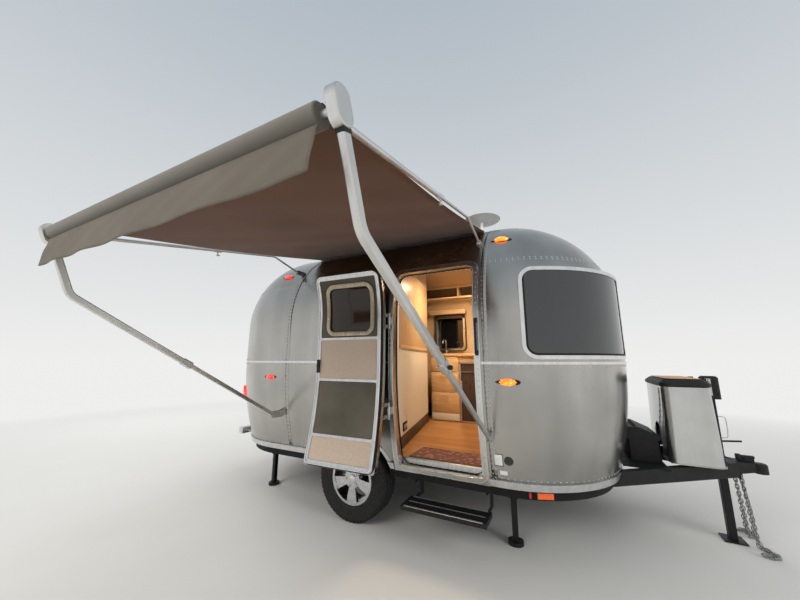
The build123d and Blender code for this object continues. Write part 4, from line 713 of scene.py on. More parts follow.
def awningCloth():
    bm = cutCloth(48, 40)
    start = Vector((0, clothHigh.y, clothHigh.z - awning["lift"]))
    end = Vector((0, clothLow.y, clothLow.z + awning["lift"]))
    width, length = clothHigh.x - clothLow.x, (end - start).length
    for v in bm.verts:
        across, along = v.co.x + 0.5, v.co.y + 0.5
        place = start.lerp(end, along)
        pull = awning["drawIn"] * sin(pi * along) * (2 * across - 1)
        sag = awning["sag"] * sin(pi * along) * (1 - 0.25 * (2 * across - 1) ** 2)
        ripple = awning["ripple"] * sin(9 * pi * along) * sin(5 * pi * across)
        v.co = (clothLow.x + width * across - pull, place.y, place.z - sag + ripple)
    piece = sewCloth("awningCloth", bm, "awningCloth", "root", (width, length))
    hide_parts("awning_fabric")
    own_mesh(piece)


def hangingValance():
    bm = cutCloth(12, 96)
    low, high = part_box("awning_valance")
    width = high.x - low.x
    for v in bm.verts:
        across, down = v.co.x + 0.5, 0.5 - v.co.y
        fold = valance["wave"] * sin(2 * pi * valance["waves"] * across + 2.3 * sin(4 * across)) * down
        crease = valance["crease"] * sin(61 * across + 9 * down) * sin(pi * down)
        y = low.y + valance["lean"] * (1 - down) ** 1.5 + valance["wave"] + fold + crease
        v.co = (low.x + width * across, y, valance["top"] - valance["drop"] * down)
    piece = sewCloth("awningValance", bm, "valanceCloth", "awning_head", (width, valance["drop"]))
    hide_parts("awning_valance")
    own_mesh(piece)


awningCloth()
hangingValance()
print("awning cloth hung")

# Mattress

bedding = {"voxel": 0.016, "smooth": 12, "crown": 0.012, "settle": 0.003, "fill": 0.8}


def mattress():
    low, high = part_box("mattress")
    bm = bmesh.new()
    bm.from_mesh(nodes["mattress"].data)
    bmesh.ops.remove_doubles(bm, verts=bm.verts, dist=0.0001)
    bmesh.ops.triangulate(bm, faces=bm.faces)
    form = intoScene("mattressForm", meshOf("mattressForm", bm))
    remesh = form.modifiers.new("Form", "REMESH")
    remesh.mode = "VOXEL"
    remesh.voxel_size = bedding["voxel"]
    form.modifiers.new("Soft", "SMOOTH").iterations = bedding["smooth"]
    shaped = bpy.data.meshes.new_from_object(form.evaluated_get(bpy.context.evaluated_depsgraph_get()))
    bpy.data.objects.remove(form)
    middle, half = (low + high) / 2, (high - low) / 2
    bm = bmesh.new()
    bm.from_mesh(shaped)
    for v in bm.verts:  # the top crowns a little, and both faces settle
        level, across, along = ((v.co[axis] - middle[axis]) / half[axis] for axis in (2, 0, 1))
        if level > 0.5:
            v.co.z += bedding["crown"] * max(0, 1 - across ** 2) * max(0, 1 - along ** 2) - bedding["settle"]
        if level < -0.5:
            v.co.z += bedding["settle"]
    piece = toPiece("mattressPad", bm, "bedCloth", smooth=180, tidy=True)
    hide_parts("mattress")


mattress()

# Doorway: rings set in from the frame's edges, rivets, sill and grab handle

doorEdges = tuple(doorway.values())
doorRings = {
    "doorwayBead": {"edges": doorEdges, "corner": 0.095, "width": 0.009, "depths": (-0.0056, -0.003),
                    "look": "brightTrim"},
    "doorwayLip": {"edges": inset(doorEdges, 0.037), "corner": 0.076, "width": 0.006, "depths": (-0.0090, -0.004),
                   "look": "brightTrim"},
    "doorwaySeal": {"edges": inset(doorEdges, 0.044), "corner": 0.07, "width": 0.008, "depths": (0.0565, 0.062),
                    "look": "blackRubberAndHoleShade"},
}
for name, ring in doorRings.items():
    trimRing(name, **ring)


def ringWalk(edges, pitch):  # evenly spaced places along the four sides of an upright frame
    x0, x1, z0, z1 = edges
    corners = [Vector(corner) for corner in ((x0, z0), (x0, z1), (x1, z1), (x1, z0), (x0, z0))]
    places = []
    for a, b in zip(corners, corners[1:]):
        count = max(1, round((b - a).length / pitch))
        places += [a.lerp(b, index / count) for index in range(count)]
    return places


frameRivets = {"edges": (0.430, 1.143, 0.54, 2.02), "pitch": 0.040, "hinges": (0.93, 1.64), "hingeHalf": 0.05,
               "out": 0.0045, "size": 0.9}


def rivetFrame():
    bm = bmesh.new()
    for x, z in ringWalk(frameRivets["edges"], frameRivets["pitch"]):
        fromHinge = min(abs(z - hinge) for hinge in frameRivets["hinges"])
        if abs(x - frameRivets["edges"][0]) > 0.005 or fromHinge > frameRivets["hingeHalf"]:
            point, normal = skinAt(x, -1, z)
            addRound(bm, point + normal * frameRivets["out"], normal, rivets["radius"] * frameRivets["size"],
                     rivets["tip"], rivets["height"], rivets["sides"])
    toPiece("doorFrameRivets", bm, "rivetMetal", smooth=rivets["smooth"])


sill = {"x": (0.462, 1.111), "profile": ((-1.040, 0.5062), (-1.040, 0.5468), (-1.008, 0.5468)), "plate": 0.0016,
        "ribs": (-1.036, -1.026, -1.016), "ribWidth": 0.005, "ribHigh": 0.003, "ribEdge": 0.001}


def doorSill():
    bm = bmesh.new()
    (x0, x1), top = sill["x"], sill["profile"][-1][1]
    line = [bm.verts.new(at(x0, y, z)) for y, z in sill["profile"]]
    extrudeEdges(bm, [bm.edges.new(pair) for pair in zip(line, line[1:])], (x1 - x0, 0, 0))
    bmesh.ops.recalc_face_normals(bm, faces=bm.faces)
    bmesh.ops.solidify(bm, geom=bm.faces[:], thickness=sill["plate"])
    for y in sill["ribs"]:
        addBlock(bm, (x0, y, top), (x1, y + sill["ribWidth"], top + sill["ribHigh"]), sill["ribEdge"])
    toPiece("doorSill", bm, "frameMetal", tidy=True)


grip = {"x": (1.132, 1.147), "z": (1.373, 1.609), "stand": 0.026, "thick": 0.012, "plate": (0.003, 0.018),
        "plateOut": (0.012, 0.004), "post": (0.010, 0.008), "edges": (0.003, 0.005)}


def grabHandle():
    skin, (x0, x1), (low, high) = -shell["half"], grip["x"], grip["z"]
    near, far = skin - grip["stand"], skin - grip["stand"] - grip["thick"]
    (lap, tall), (face, back), (foot, half) = grip["plate"], grip["plateOut"], grip["post"]
    edge, barEdge = grip["edges"]
    blocks = [((x0, far, low), (x1, near, high), barEdge)]
    for z in grip["z"]:
        blocks += [((x0 - lap, skin - face, z - tall), (x1 + lap, skin - back, z + tall), edge),
                   ((x0, far, z - half), (x1, skin - foot, z + half), edge)]
    partsPiece("grabHandle", "blackPlastic", blocks)


rivetFrame()
doorSill()
grabHandle()

# Door leaf and screen door, modelled shut and swung with the leaf

leafWindow = {"edges": (0.532, 1.008, 1.522, 1.962), "width": 0.036, "lap": 0.006, "deep": 0.062,
              "pane": (0.0478, 0.051), "paneCorner": 0.055, "paneSoft": 0.001, "paneStrips": 8,
              "seal": 0.011, "sealDeep": (0.051, 0.0545)}
leafRings = {
    "leafSeal": {"edges": inset(doorEdges, 0.052), "corner": 0.063, "width": 0.009, "depths": (0.0385, 0.046),
                 "look": "blackRubberAndHoleShade"},
    "screenBead": {"edges": inset(doorEdges, 0.063), "corner": 0.056, "width": 0.008, "depths": (0.0538, 0.058),
                   "look": "brightTrim"},
    "leafWindowTrim": {"edges": leafWindow["edges"], "corner": 0.085, "width": leafWindow["width"],
                       "depths": (0.0475, leafWindow["deep"]), "look": "leafMetal"},
}
onLeaf = {"body": "entry_door", "move": doorSwing}
for name, ring in leafRings.items():
    trimRing(name, **ring, **onLeaf)
paneEdges = inset(leafWindow["edges"], leafWindow["width"] - leafWindow["lap"])


def leafPane():
    near, far = leafWindow["pane"]
    bm = outline(paneEdges, leafWindow["paneCorner"], 1)
    extrudeFaces(bm, (0, far - near, 0))
    bmesh.ops.translate(bm, verts=bm.verts, vec=(0, near, 0))
    softenEdges(bm, leafWindow["paneSoft"])
    for index in range(1, leafWindow["paneStrips"]):  # cut into strips, so that it bends with the side
        z = paneEdges[2] + (paneEdges[3] - paneEdges[2]) * index / leafWindow["paneStrips"]
        bmesh.ops.bisect_plane(bm, geom=bm.verts[:] + bm.edges[:] + bm.faces[:], plane_co=(0, 0, z),
                               plane_no=(0, 0, 1))
    wrapSide(bm, -1, doorSwing)
    toPiece("leafWindowPane", bm, "doorGlass", "entry_door", tidy=True)


leafPane()
trimRing("leafWindowSeal", paneEdges, leafWindow["paneCorner"], leafWindow["seal"], leafWindow["sealDeep"],
         "blackRubberAndHoleShade", **onLeaf)

windowScrews = {"depth": leafWindow["deep"], "radius": 0.0065, "tip": 0.0045, "height": 0.0028}
windowScrewRow = {"pitch": 0.12, "near": 0.01, "moveIn": 0.024}
screenScrews = {"depth": 0.054, "radius": 0.006, "tip": 0.004, "height": 0.0025}
screws = {"sunk": 0.0005, "sides": 10}
screenColumns = {"x": (0.491, 1.082), "z": (0.545, 0.72, 1.12, 1.165, 1.50, 1.98)}
latch = {"z": 1.27, "depth": 0.0545, "edge": 0.003, "plate": (1.064, 1.094, 1.215, 1.325, 0.0, 0.013),
         "knob": (1.068, 1.086, 1.262, 1.280, 0.012, 0.026)}


def leafScrews(name, places, depth, radius, tip, height):
    bm = bmesh.new()
    away = doorSwing.to_3x3() @ Vector((0, 1, 0))
    for x, z in places:
        spot = toRow @ doorSwing @ Vector((x, -(halfFlat + radiusAt(z, depth)), z))
        addRound(bm, spot - away * screws["sunk"], away, radius, tip, height, screws["sides"])
    toPiece(name, bm, "rivetMetal", "entry_door", smooth=rivets["smooth"])


def cornerScrews():  # round the window frame, with those at its corners moved in along the curve
    x0, x1, z0, z1 = inset(leafWindow["edges"], leafWindow["width"] / 2)
    places = []
    for x, z in ringWalk((x0, x1, z0, z1), windowScrewRow["pitch"]):
        fromCorner = max(min(abs(x - x0), abs(x - x1)), min(abs(z - z0), abs(z - z1)))
        step = windowScrewRow["moveIn"] if fromCorner < windowScrewRow["near"] else 0
        places.append((x + step if x < (x0 + x1) / 2 else x - step, z + step if z < (z0 + z1) / 2 else z - step))
    return places


def screenLatch():
    deep = -(halfFlat + radiusAt(latch["z"], latch["depth"]))
    blocks = [((x0, deep + low, z0), (x1, deep + high, z1), latch["edge"])
              for x0, x1, z0, z1, low, high in (latch["plate"], latch["knob"])]
    partsPiece("screenDoorLatch", "blackPlastic", blocks, place=toRow @ doorSwing, body="entry_door")


leafScrews("leafWindowScrews", cornerScrews(), **windowScrews)
leafScrews("screenDoorScrews", [(x, z) for x in screenColumns["x"] for z in screenColumns["z"]], **screenScrews)
screenLatch()
print("doorway and doors trimmed")

# Window borders: a black seal inside each bright frame

windowSeals = {"inset": 0.026, "width": 0.014, "proud": 0.0035, "thick": 0.004, "low": 1.356, "rearUp": 0.09,
               "high": 1.969, "corner": 0.074, "halfWide": 0.319, "sideCorner": 0.045, "sideWidth": 0.012}


def cornerSeal(name, side):  # its x, an arc length from straight ahead, is bent round the body's corner
    left, right = (radians(turn) * shell["corner"] for turn in endWindow["turns"])
    edges = (left + windowSeals["inset"], right - windowSeals["inset"], windowSeals["low"], windowSeals["high"])
    bm = frameRing(edges, windowSeals["corner"], windowSeals["width"], windowSeals["thick"], 24)
    bmesh.ops.translate(bm, verts=bm.verts, vec=(0, -windowSeals["proud"], 0))
    for v in bm.verts:
        turn = v.co.x / shell["corner"]
        radius = radiusAt(min(v.co.z, shoulder), v.co.y)
        v.co = (frontCentre + radius * cos(turn), side * (halfFlat + radius * sin(turn)), v.co.z)
    bmesh.ops.transform(bm, matrix=toRow, verts=bm.verts)
    toPiece(name, bm, "blackRubberAndHoleShade", tidy=True)


def faceSeal(name, out, low):  # round the flat window at either end
    half = windowSeals["halfWide"] - windowSeals["inset"]
    bm = frameRing((-half, half, low, windowSeals["high"]), windowSeals["corner"], windowSeals["width"],
                   windowSeals["thick"])
    skin = shell["front"] if out > 0 else shell["rear"]
    turn = Matrix.Translation((skin + out * windowSeals["proud"], 0, 0)) @ Matrix.Rotation(-out * pi / 2, 4, "Z")
    bmesh.ops.transform(bm, matrix=toRow @ turn, verts=bm.verts)
    toPiece(name, bm, "blackRubberAndHoleShade", tidy=True)


cornerSeal("cornerWindowSealCurb", -1)
cornerSeal("cornerWindowSealRoad", 1)
faceSeal("frontWindowSeal", 1, windowSeals["low"])
faceSeal("rearWindowSeal", -1, windowSeals["low"] + windowSeals["rearUp"])
for name, edges in zip(("sideWindowSealRear", "sideWindowSealFront"), sideWindows):
    trimRing(name, inset(edges, windowSeals["inset"]), windowSeals["sideCorner"], windowSeals["sideWidth"],
             (-windowSeals["proud"], windowSeals["thick"] - windowSeals["proud"]), "blackRubberAndHoleShade", side=1)
print("window borders laid")

# Side lamp bases, blank plates by the door, reflector

sideLamps = ((1.315, 2.274, 1), (1.338, 1.176, 1), (-0.960, 2.218, -1), (-0.926, 1.158, -1))  # x, z, way it points
lampBase = {"long": 0.166, "half": 0.027, "thick": 0.006, "sunk": 0.0035, "taper": 0.45, "top": (0.95, 0.88, 1)}


def lampBases():
    bm = bmesh.new()
    for x, z, way in sideLamps:
        for side in (-1, 1):
            part = bmesh.new()
            bmesh.ops.create_circle(part, cap_ends=True, segments=40, radius=1)
            for v in part.verts:  # a drop, round at its front end
                v.co.y *= lampBase["half"] * (1 - lampBase["taper"] * (1 - way * v.co.x) / 2)
                v.co.x *= lampBase["long"] / 2
            top = extrudeFaces(part, (0, 0, lampBase["thick"]))
            bmesh.ops.scale(part, verts=top, vec=lampBase["top"])
            addPart(bm, part, skinStand(x, side, z, -lampBase["sunk"]))
    toPiece("sideLampBases", bm, "blackPlastic")


lampBases()

plates = {
    "sunk": 0.0012, "edge": 0.0006, "round": (1.302, 0.655, 0.001, (0.031, 0.030, 0.0024, 32)),
    "rows": (("plateBorder", "stickerInk", 1.236, 0.655, 0.030, 0.042, 0.0010),
             ("platePaper", "stickerPaper", 1.236, 0.655, 0.025, 0.037, 0.0016),
             ("plateSmall", "stickerPaper", 1.262, 0.570, 0.024, 0.014, 0.0012)),
}
for name, look, x, z, wide, tall, thick in plates["rows"]:
    partsPiece(name, look, [((-wide, -tall, -plates["sunk"]), (wide, tall, thick), plates["edge"])],
               place=skinStand(x, -1, z))
x, z, sunk, sizes = plates["round"]
partsPiece("plateRound", "stickerInk", rounds=[((0, 0, -sunk), (0, 0, 1), *sizes)], place=skinStand(x, -1, z))

reflectors = {"z": 0.433, "in": 0.012, "back": 0.006, "thick": 0.008, "edge": 0.004,
              "panReflector": (1.505, (0.052, 0.020), "lensOrange"), "panMarker": (1.413, (0.008, 0.021), "lensRed")}


def panReflector(name):
    x, (wide, tall), look = reflectors[name]
    radius = radiusAt(reflectors["z"], reflectors["in"])
    turn = asin((x - frontCentre) / radius)
    spot = at(x, -(halfFlat + radius * cos(turn)), reflectors["z"])
    stand = Matrix.Translation(spot) @ Matrix.Rotation(turn, 4, "Z") @ Matrix.Rotation(pi / 2, 4, "X")
    low, high = (-wide, -tall, -reflectors["back"]), (wide, tall, reflectors["thick"])
    partsPiece(name, look, [(low, high, reflectors["edge"])], place=stand)


panReflector("panReflector")
panReflector("panMarker")
print("lamps, plates and reflector placed")

# Wheels: shoulder lugs, sidewall ribs, nuts and centre caps

wheelLooks = {
    "lugs": 56, "shoulder": (0.0925, 0.320), "lug": (0.0095, 0.011, 0.004, 0.0026),
    "ribs": (0.288, 0.262, 0.236), "ribWire": 0.003, "ribY": 0.1013,
    "nuts": 5, "nutRing": 0.056, "nutY": (0.0622, 0.0737), "nut": (0.0082, 0.0082, 0.012, 6),
    "nutTop": (0.0075, 0.004, 0.004, 12),
    "capY": (0.0815, 0.0840), "cap": (0.033, 0.031, 0.003, 40), "capTop": (0.028, 0.018, 0.003, 40),
}


def wheelDetail(side, body, name):
    middle = Vector((0, side * wheels["side"], wheels["height"]))
    axis = Vector((0, side, 0))
    edgeY, edgeZ = wheelLooks["shoulder"]
    wide, long, under, over = wheelLooks["lug"]
    bm = bmesh.new()
    for index in range(wheelLooks["lugs"]):
        turn = Matrix.Rotation(2 * pi * index / wheelLooks["lugs"], 4, "Y")
        for edge in (-1, 1):
            place = Matrix.Translation(middle) @ turn @ Matrix.Translation((0, edge * edgeY, edgeZ))
            place = toRow @ place @ Matrix.Rotation(-edge * pi / 4, 4, "X")
            addBlock(bm, (-wide, -long, -under), (wide, long, over), 0, place)
    toPiece(name + "Lugs", bm, "tyreRubber", body)
    bm = bmesh.new()
    wall = toRow @ Matrix.Translation(middle + axis * wheelLooks["ribY"]) @ Matrix.Rotation(pi / 2, 4, "X")
    for radius in wheelLooks["ribs"]:
        addHoop(bm, radius, wheelLooks["ribWire"], 8, 72, 0, wall)
    toPiece(name + "Ribs", bm, "tyreRubber", body, tidy=True)
    nuts = []
    for index in range(wheelLooks["nuts"]):
        turn = 2 * pi * index / wheelLooks["nuts"]
        spot = middle + Vector((side * cos(turn), 0, -sin(turn))) * wheelLooks["nutRing"]
        for y, shape in zip(wheelLooks["nutY"], (wheelLooks["nut"], wheelLooks["nutTop"])):
            nuts.append((spot + axis * y, axis, *shape))
    partsPiece(name + "Nuts", "rivetMetal", rounds=nuts, body=body, slot="alloy")
    caps = [(middle + axis * y, axis, *shape)
            for y, shape in zip(wheelLooks["capY"], (wheelLooks["cap"], wheelLooks["capTop"]))]
    partsPiece(name + "Cap", "brightTrim", rounds=caps, body=body, slot="alloy")


wheelDetail(-1, "wheel_curb", "curbWheel")
wheelDetail(1, "wheel_road", "roadWheel")
print("wheels finished")

# Nose gear: lid top, strap, coupler lever, jack handle, safety chains

lidPad = {"x": (2.385, 2.607), "half": 0.262, "z": (1.1815, 1.1848), "corner": 0.035, "edge": 0.0012}
strap = {"y": -0.245, "bow": 0.10, "top": 1.085, "drop": 0.27, "links": 7, "x": (2.3362, 2.3405), "half": (0.02, 0.024),
         "holes": 6, "holeTop": 1.075, "holePitch": 0.05, "holeX": 2.3366, "coverTop": 1.121, "coverTall": 0.554,
         "lean": 0.012, "hole": (0.0075, 0.0075, 0.0012, 16), "edge": 0.001}


def lidTop():
    bm = bmesh.new()
    (x0, x1), half, (z0, z1) = lidPad["x"], lidPad["half"], lidPad["z"]
    roundedFace(bm, [at(x, y, z0) for x, y in ((x0, -half), (x1, -half), (x1, half), (x0, half))], lidPad["corner"])
    extrudeFaces(bm, (0, 0, z1 - z0))
    softenEdges(bm, lidPad["edge"])
    toPiece("gasLidTop", bm, "tanPanel", "gas_lid", tidy=True)


def strapAt(z):  # how far the cover leans in at a height, and where the strap's middle is
    lean = strap["lean"] * (strap["coverTop"] - z) / strap["coverTall"]
    return lean, strap["y"] + strap["bow"] * ((strap["top"] - z) / strap["drop"]) ** 2


def coverStrap():  # a perforated strap that curves down the back of the gas cover
    (x0, x1), (wide, tall) = strap["x"], strap["half"]
    blocks, holes = [], []
    for index in range(strap["links"]):
        z = strap["top"] - strap["drop"] * index / (strap["links"] - 1)
        lean, y = strapAt(z)
        blocks.append(((x0 - lean, y - wide, z - tall), (x1 - lean, y + wide, z + tall), strap["edge"]))
    for index in range(strap["holes"]):
        z = strap["holeTop"] - strap["holePitch"] * index
        lean, y = strapAt(z)
        holes.append(((strap["holeX"] - lean, y, z), (-1, 0, 0), *strap["hole"]))
    partsPiece("coverStrap", "castMetal", blocks)
    # black discs in the strap's holes: painted shade in the holes
    partsPiece("coverStrapHoleShade", "blackRubberAndHoleShade", rounds=holes)


lidTop()
coverStrap()
couplerLever = {
    "blocks": (((2.815, -0.013, 0.594), (2.905, 0.013, 0.612), 0.005),
               ((2.800, -0.017, 0.574), (2.830, 0.017, 0.618), 0.005)),
    "rounds": (((2.847, -0.022, 0.588), (0, 1, 0), 0.006, 0.006, 0.044, 12),),
}
partsPiece("couplerLever", "blackPlastic", **couplerLever, slot="black_steel")
jackPin = {"radius": 0.0068, "points": ((2.7312, 0, 0.700), (2.76, 0, 0.703), (2.83, 0, 0.709), (2.852, 0, 0.711))}
rod("jackPin", **jackPin, look="blackSteel")
jackBail = {"radius": 0.0036, "points": ((2.7312, 0, 0.885), (2.772, 0, 0.887), (2.784, 0, 0.872), (2.781, 0, 0.745),
                                         (2.774, 0, 0.727), (2.7312, 0, 0.725))}
rod("jackBail", **jackBail, look="brightTrim")

chain = {
    "pitch": 0.026, "half": 0.0095, "pull": 0.0075, "wire": 0.0034, "sides": 6, "steps": 14, "links": 34,
    "starts": (-0.072, -0.046, 0.046, 0.072), "sway": 0.018, "ground": 0.0135,
    "eye": ((2.777, 2.799), 0.004, (0.452, 0.492), 0.002),
}


def chainLine(startY, sway):  # down from its eye, then out over the ground and back
    way, low = 1 if startY > 0 else -1, chain["ground"]
    points = ((2.790, startY, 0.468), (2.797 + sway, startY * 1.1, 0.28), (2.803 + sway, startY * 1.2, 0.07),
              (2.812 + sway, startY * 1.4, low), (2.850, startY + way * 0.05, low),
              (2.885 - sway, startY + way * 0.10, low), (2.855, startY + way * 0.15 + sway, low),
              (2.790, startY + way * 0.13 - sway, low))
    return [v.co.copy() for v in curveMesh(points, 24).vertices]


def safetyChains():
    bm = bmesh.new()
    for strand, startY in enumerate(chain["starts"]):
        line = chainLine(startY, chain["sway"] * (strand % 2))
        along, step, index = 0.0, 0.0, 0
        for a, b in zip(line, line[1:]):
            length = (b - a).length
            while step <= along + length and index < chain["links"]:
                turn = (b - a).to_track_quat("Z", "X").to_matrix().to_4x4()
                turn @= Matrix.Rotation(pi / 2 * (index % 2) + pi / 4, 4, "Z") @ Matrix.Rotation(pi / 2, 4, "X")
                addHoop(bm, chain["half"], chain["wire"], chain["sides"], chain["steps"], chain["pull"],
                        Matrix.Translation(a.lerp(b, (step - along) / length)) @ turn)
                index += 1
                step += chain["pitch"]
            along += length
    toPiece("safetyChains", bm, "chainSteel", smooth=60)
    (x0, x1), half, (z0, z1), edge = chain["eye"]
    partsPiece("chainEyes", "blackSteel", [((x0, y - half, z0), (x1, y + half, z1), edge) for y in chain["starts"]])


safetyChains()
print("nose gear finished")

# Inside, as it shows through the doorway

kitchen = {
    "x": (0.060, 0.436), "y": 0.620, "thick": 0.016, "sunk": 0.001, "edge": 0.003,
    "fronts": ((0.560, 0.645), (0.652, 0.905), (0.912, 1.165), (1.172, 1.362)),
    "pull": (0.11, 0.010, 0.022), "pullDrop": 0.035, "foot": (0.008, 0.004), "footBack": 0.002,
    "footEdge": 0.001,
}
fridge = {
    "edges": (0.449, 0.958, 0.550, 1.294), "corner": 0.008, "width": 0.016, "deep": 0.014, "out": 0.010, "soft": 0.0015,
    "pull": (((0.467, 0.612, 1.169), (0.940, 0.625, 1.174), 0.001),
             ((0.471, 0.596, 0.860), (0.485, 0.608, 1.060), 0.004),
             ((0.474, 0.606, 0.870), (0.482, 0.626, 0.880), 0.001),
             ((0.474, 0.606, 1.040), (0.482, 0.626, 1.050), 0.001)),
}


def cabinetFronts():
    (x0, x1), face = kitchen["x"], kitchen["y"]
    front, sunk, edge = face - kitchen["thick"], kitchen["sunk"], kitchen["edge"]
    (wide, thick, out), (endIn, half) = kitchen["pull"], kitchen["foot"]
    left, right, near = (x0 + x1 - wide) / 2, (x0 + x1 + wide) / 2, front - out
    for index, (low, high) in enumerate(kitchen["fronts"]):  # the lowest is a pale kick board
        number, look = str(index + 1), "mapleLong" if index else "whitePlastic"
        partsPiece("cabinetFront" + number, look, [((x0, front, low), (x1, face + sunk, high), edge)], slot="maple")
        if index:
            z = high - kitchen["pullDrop"]
            blocks = [((left, near, z - thick / 2), (right, near + thick, z + thick / 2), edge)]
            for end in (left + endIn, right - endIn):
                foot = (end - half, near + kitchen["footBack"], z - half), (end + half, front + sunk, z + half)
                blocks.append((*foot, kitchen["footEdge"]))
            partsPiece("cabinetPull" + number, "frameMetal", blocks)


def fridgeFront():
    bm = frameRing(fridge["edges"], fridge["corner"], fridge["width"], fridge["deep"], 1)
    bmesh.ops.translate(bm, verts=bm.verts, vec=at(0, kitchen["y"] - fridge["out"], 0))
    softenEdges(bm, fridge["soft"])
    toPiece("fridgeTrim", bm, "frameMetal", tidy=True)
    partsPiece("fridgePull", "brightTrim", fridge["pull"])


cabinetFronts()
fridgeFront()

# The road-side window from inside: pelmet, frame, bead and the raised shade
innerRings = {
    "insideWindowFrame": {"edges": inset(sideWindows[0], -0.012), "width": 0.040, "look": "darkInside",
                          "depths": (shell["wall"] - 0.001, shell["wall"] + 0.016)},
    "insideWindowBead": {"edges": inset(sideWindows[0], 0.020), "width": 0.010, "look": "frameMetal",
                         "depths": (shell["wall"] - 0.001, shell["wall"] + 0.020)},
}
pelmet = ((-0.112, 1.000, 1.996), (0.442, 1.084, 2.060), 0.004)
partsPiece("windowPelmet", "mapleLong", [pelmet])
for name, ring in innerRings.items():
    trimRing(name, corner=0.07, side=1, **ring)
shade = {"x": (-0.045, 0.375), "y": (1.070, 1.092), "top": 1.985, "pitch": 0.012, "tall": 0.0115, "folds": 5,
         "edge": 0.003}
shadeFeet = [shade["top"] - shade["pitch"] * index for index in range(shade["folds"])]
partsPiece("windowShade", "darkInside", [
    ((shade["x"][0], shade["y"][0], z), (shade["x"][1], shade["y"][1], z + shade["tall"]), shade["edge"])
    for z in shadeFeet])

tapSpout = {"radius": 0.0085, "points": ((0.16, 0.95, 1.404), (0.16, 0.95, 1.50), (0.16, 0.95, 1.60),
                                         (0.16, 0.89, 1.612), (0.16, 0.82, 1.60), (0.16, 0.82, 1.55))}
rod("tapSpout", **tapSpout, look="brightTrim")
tapBase = (((0.16, 0.95, 1.4045), (0, 0, 1), 0.026, 0.022, 0.012, 32),
           ((0.16, 0.95, 1.4165), (0, 0, 1), 0.015, 0.013, 0.05, 24),
           ((0.172, 0.95, 1.45), (1, 0, 0.35), 0.006, 0.005, 0.06, 12))
partsPiece("tapBase", "brightTrim", rounds=tapBase)
sinkCover = (((0.06, 0.66, 1.404), (0.40, 0.90, 1.408), 0.0015), ((0.08, 0.68, 1.406), (0.38, 0.88, 1.4105), 0.002))
partsPiece("sinkCover", "frameMetal", sinkCover)
counterEdge = ((0.053, 0.5965, 1.372), (1.009, 0.603, 1.4065), 0.002)
partsPiece("counterEdge", "mapleLong", [counterEdge])

partition = {
    "near": (0.372, -1.05), "far": (0.030, 0.505), "face": 0.0152, "sunk": 0.001,
    "strips": {  # start, short of the far end, low, high, out from the face, edge; a rail crosses the facing's foot
        "partitionSkirting": ("darkInside", ((0.12, 0.002, 0.546, 0.655, 0.006, 0.002),)),
        "partitionFacing": ("maple", ((0.13, 0.018, 1.46, 2.26, 0.004, 0.001),
                                      (0.13, 0.018, 1.43, 1.462, 0.012, 0.003))),
    },
    "hooks": (0.36, 0.52, 0.68), "hookHigh": 1.78,
    "hook": ((0.004, (0, 1, 0), 0.013, 0.012, 0.005, 20), (0.008, (0, 0.9, 0.4), 0.0045, 0.006, 0.038, 12)),
    "socket": (0.26, 0.40, 0.685, 0.760), "socketOut": 0.010, "socketEdge": 0.004,
    "rings": (0.295, 0.365), "ringHigh": 0.7225, "ring": (0.0095, (0, 1, 0), 0.022, 0.021, 0.003, 24),
    "post": (0.016, 0.002, 0.019), "postHigh": (0.546, 2.50), "postEdge": 0.003, "ceiling": 2.49,
}


def partitionTrim():
    near, far = Vector((*partition["near"], 0)), Vector((*partition["far"], 0))
    length, run = (far - near).length, (far - near).normalized()
    turn = Matrix((run, Vector((run.y, -run.x, 0)), Vector((0, 0, 1)))).transposed().to_4x4()
    here = {"place": Matrix.Translation(at(*near)) @ turn}
    face = partition["face"]
    back = face - partition["sunk"]
    for name, (look, rows) in partition["strips"].items():
        blocks = [((start, back, low), (length - short, face + out, high), edge)
                  for start, short, low, high, out, edge in rows]
        partsPiece(name, look, blocks, tidy=True, **here)
    hooks = [((step, face + out, partition["hookHigh"]), *shape)
             for step in partition["hooks"] for out, *shape in partition["hook"]]
    partsPiece("coatHooks", "brightTrim", rounds=hooks, **here)
    x0, x1, low, high = partition["socket"]
    socket = (x0, back, low), (x1, face + partition["socketOut"], high), partition["socketEdge"]
    partsPiece("socketPlate", "blackPlastic", [socket], tidy=True, **here)
    out, *shape = partition["ring"]
    rings = [((x, face + out, partition["ringHigh"]), *shape) for x in partition["rings"]]
    partsPiece("socketRings", "rivetMetal", rounds=rings, slot="black_plastic", **here)
    bm = bmesh.new()
    (before, past, half), (low, high) = partition["post"], partition["postHigh"]
    addBlock(bm, (length - before, -half, low), (length + past, half, high), partition["postEdge"], here["place"])
    for v in bm.verts:  # the post's top is cut level under the ceiling
        v.co.z = min(v.co.z, partition["ceiling"])
    toPiece("partitionPost", bm, "maple", tidy=True)


partitionTrim()

mat = {"x": (0.500, 1.088), "y": (-1.002, -0.712), "z": 0.5456, "thick": 0.007, "ripple": 0.0012,
       "binding": (0.008, 0.006, 0.004), "bindingOver": 0.003, "bindingEdge": 0.003}


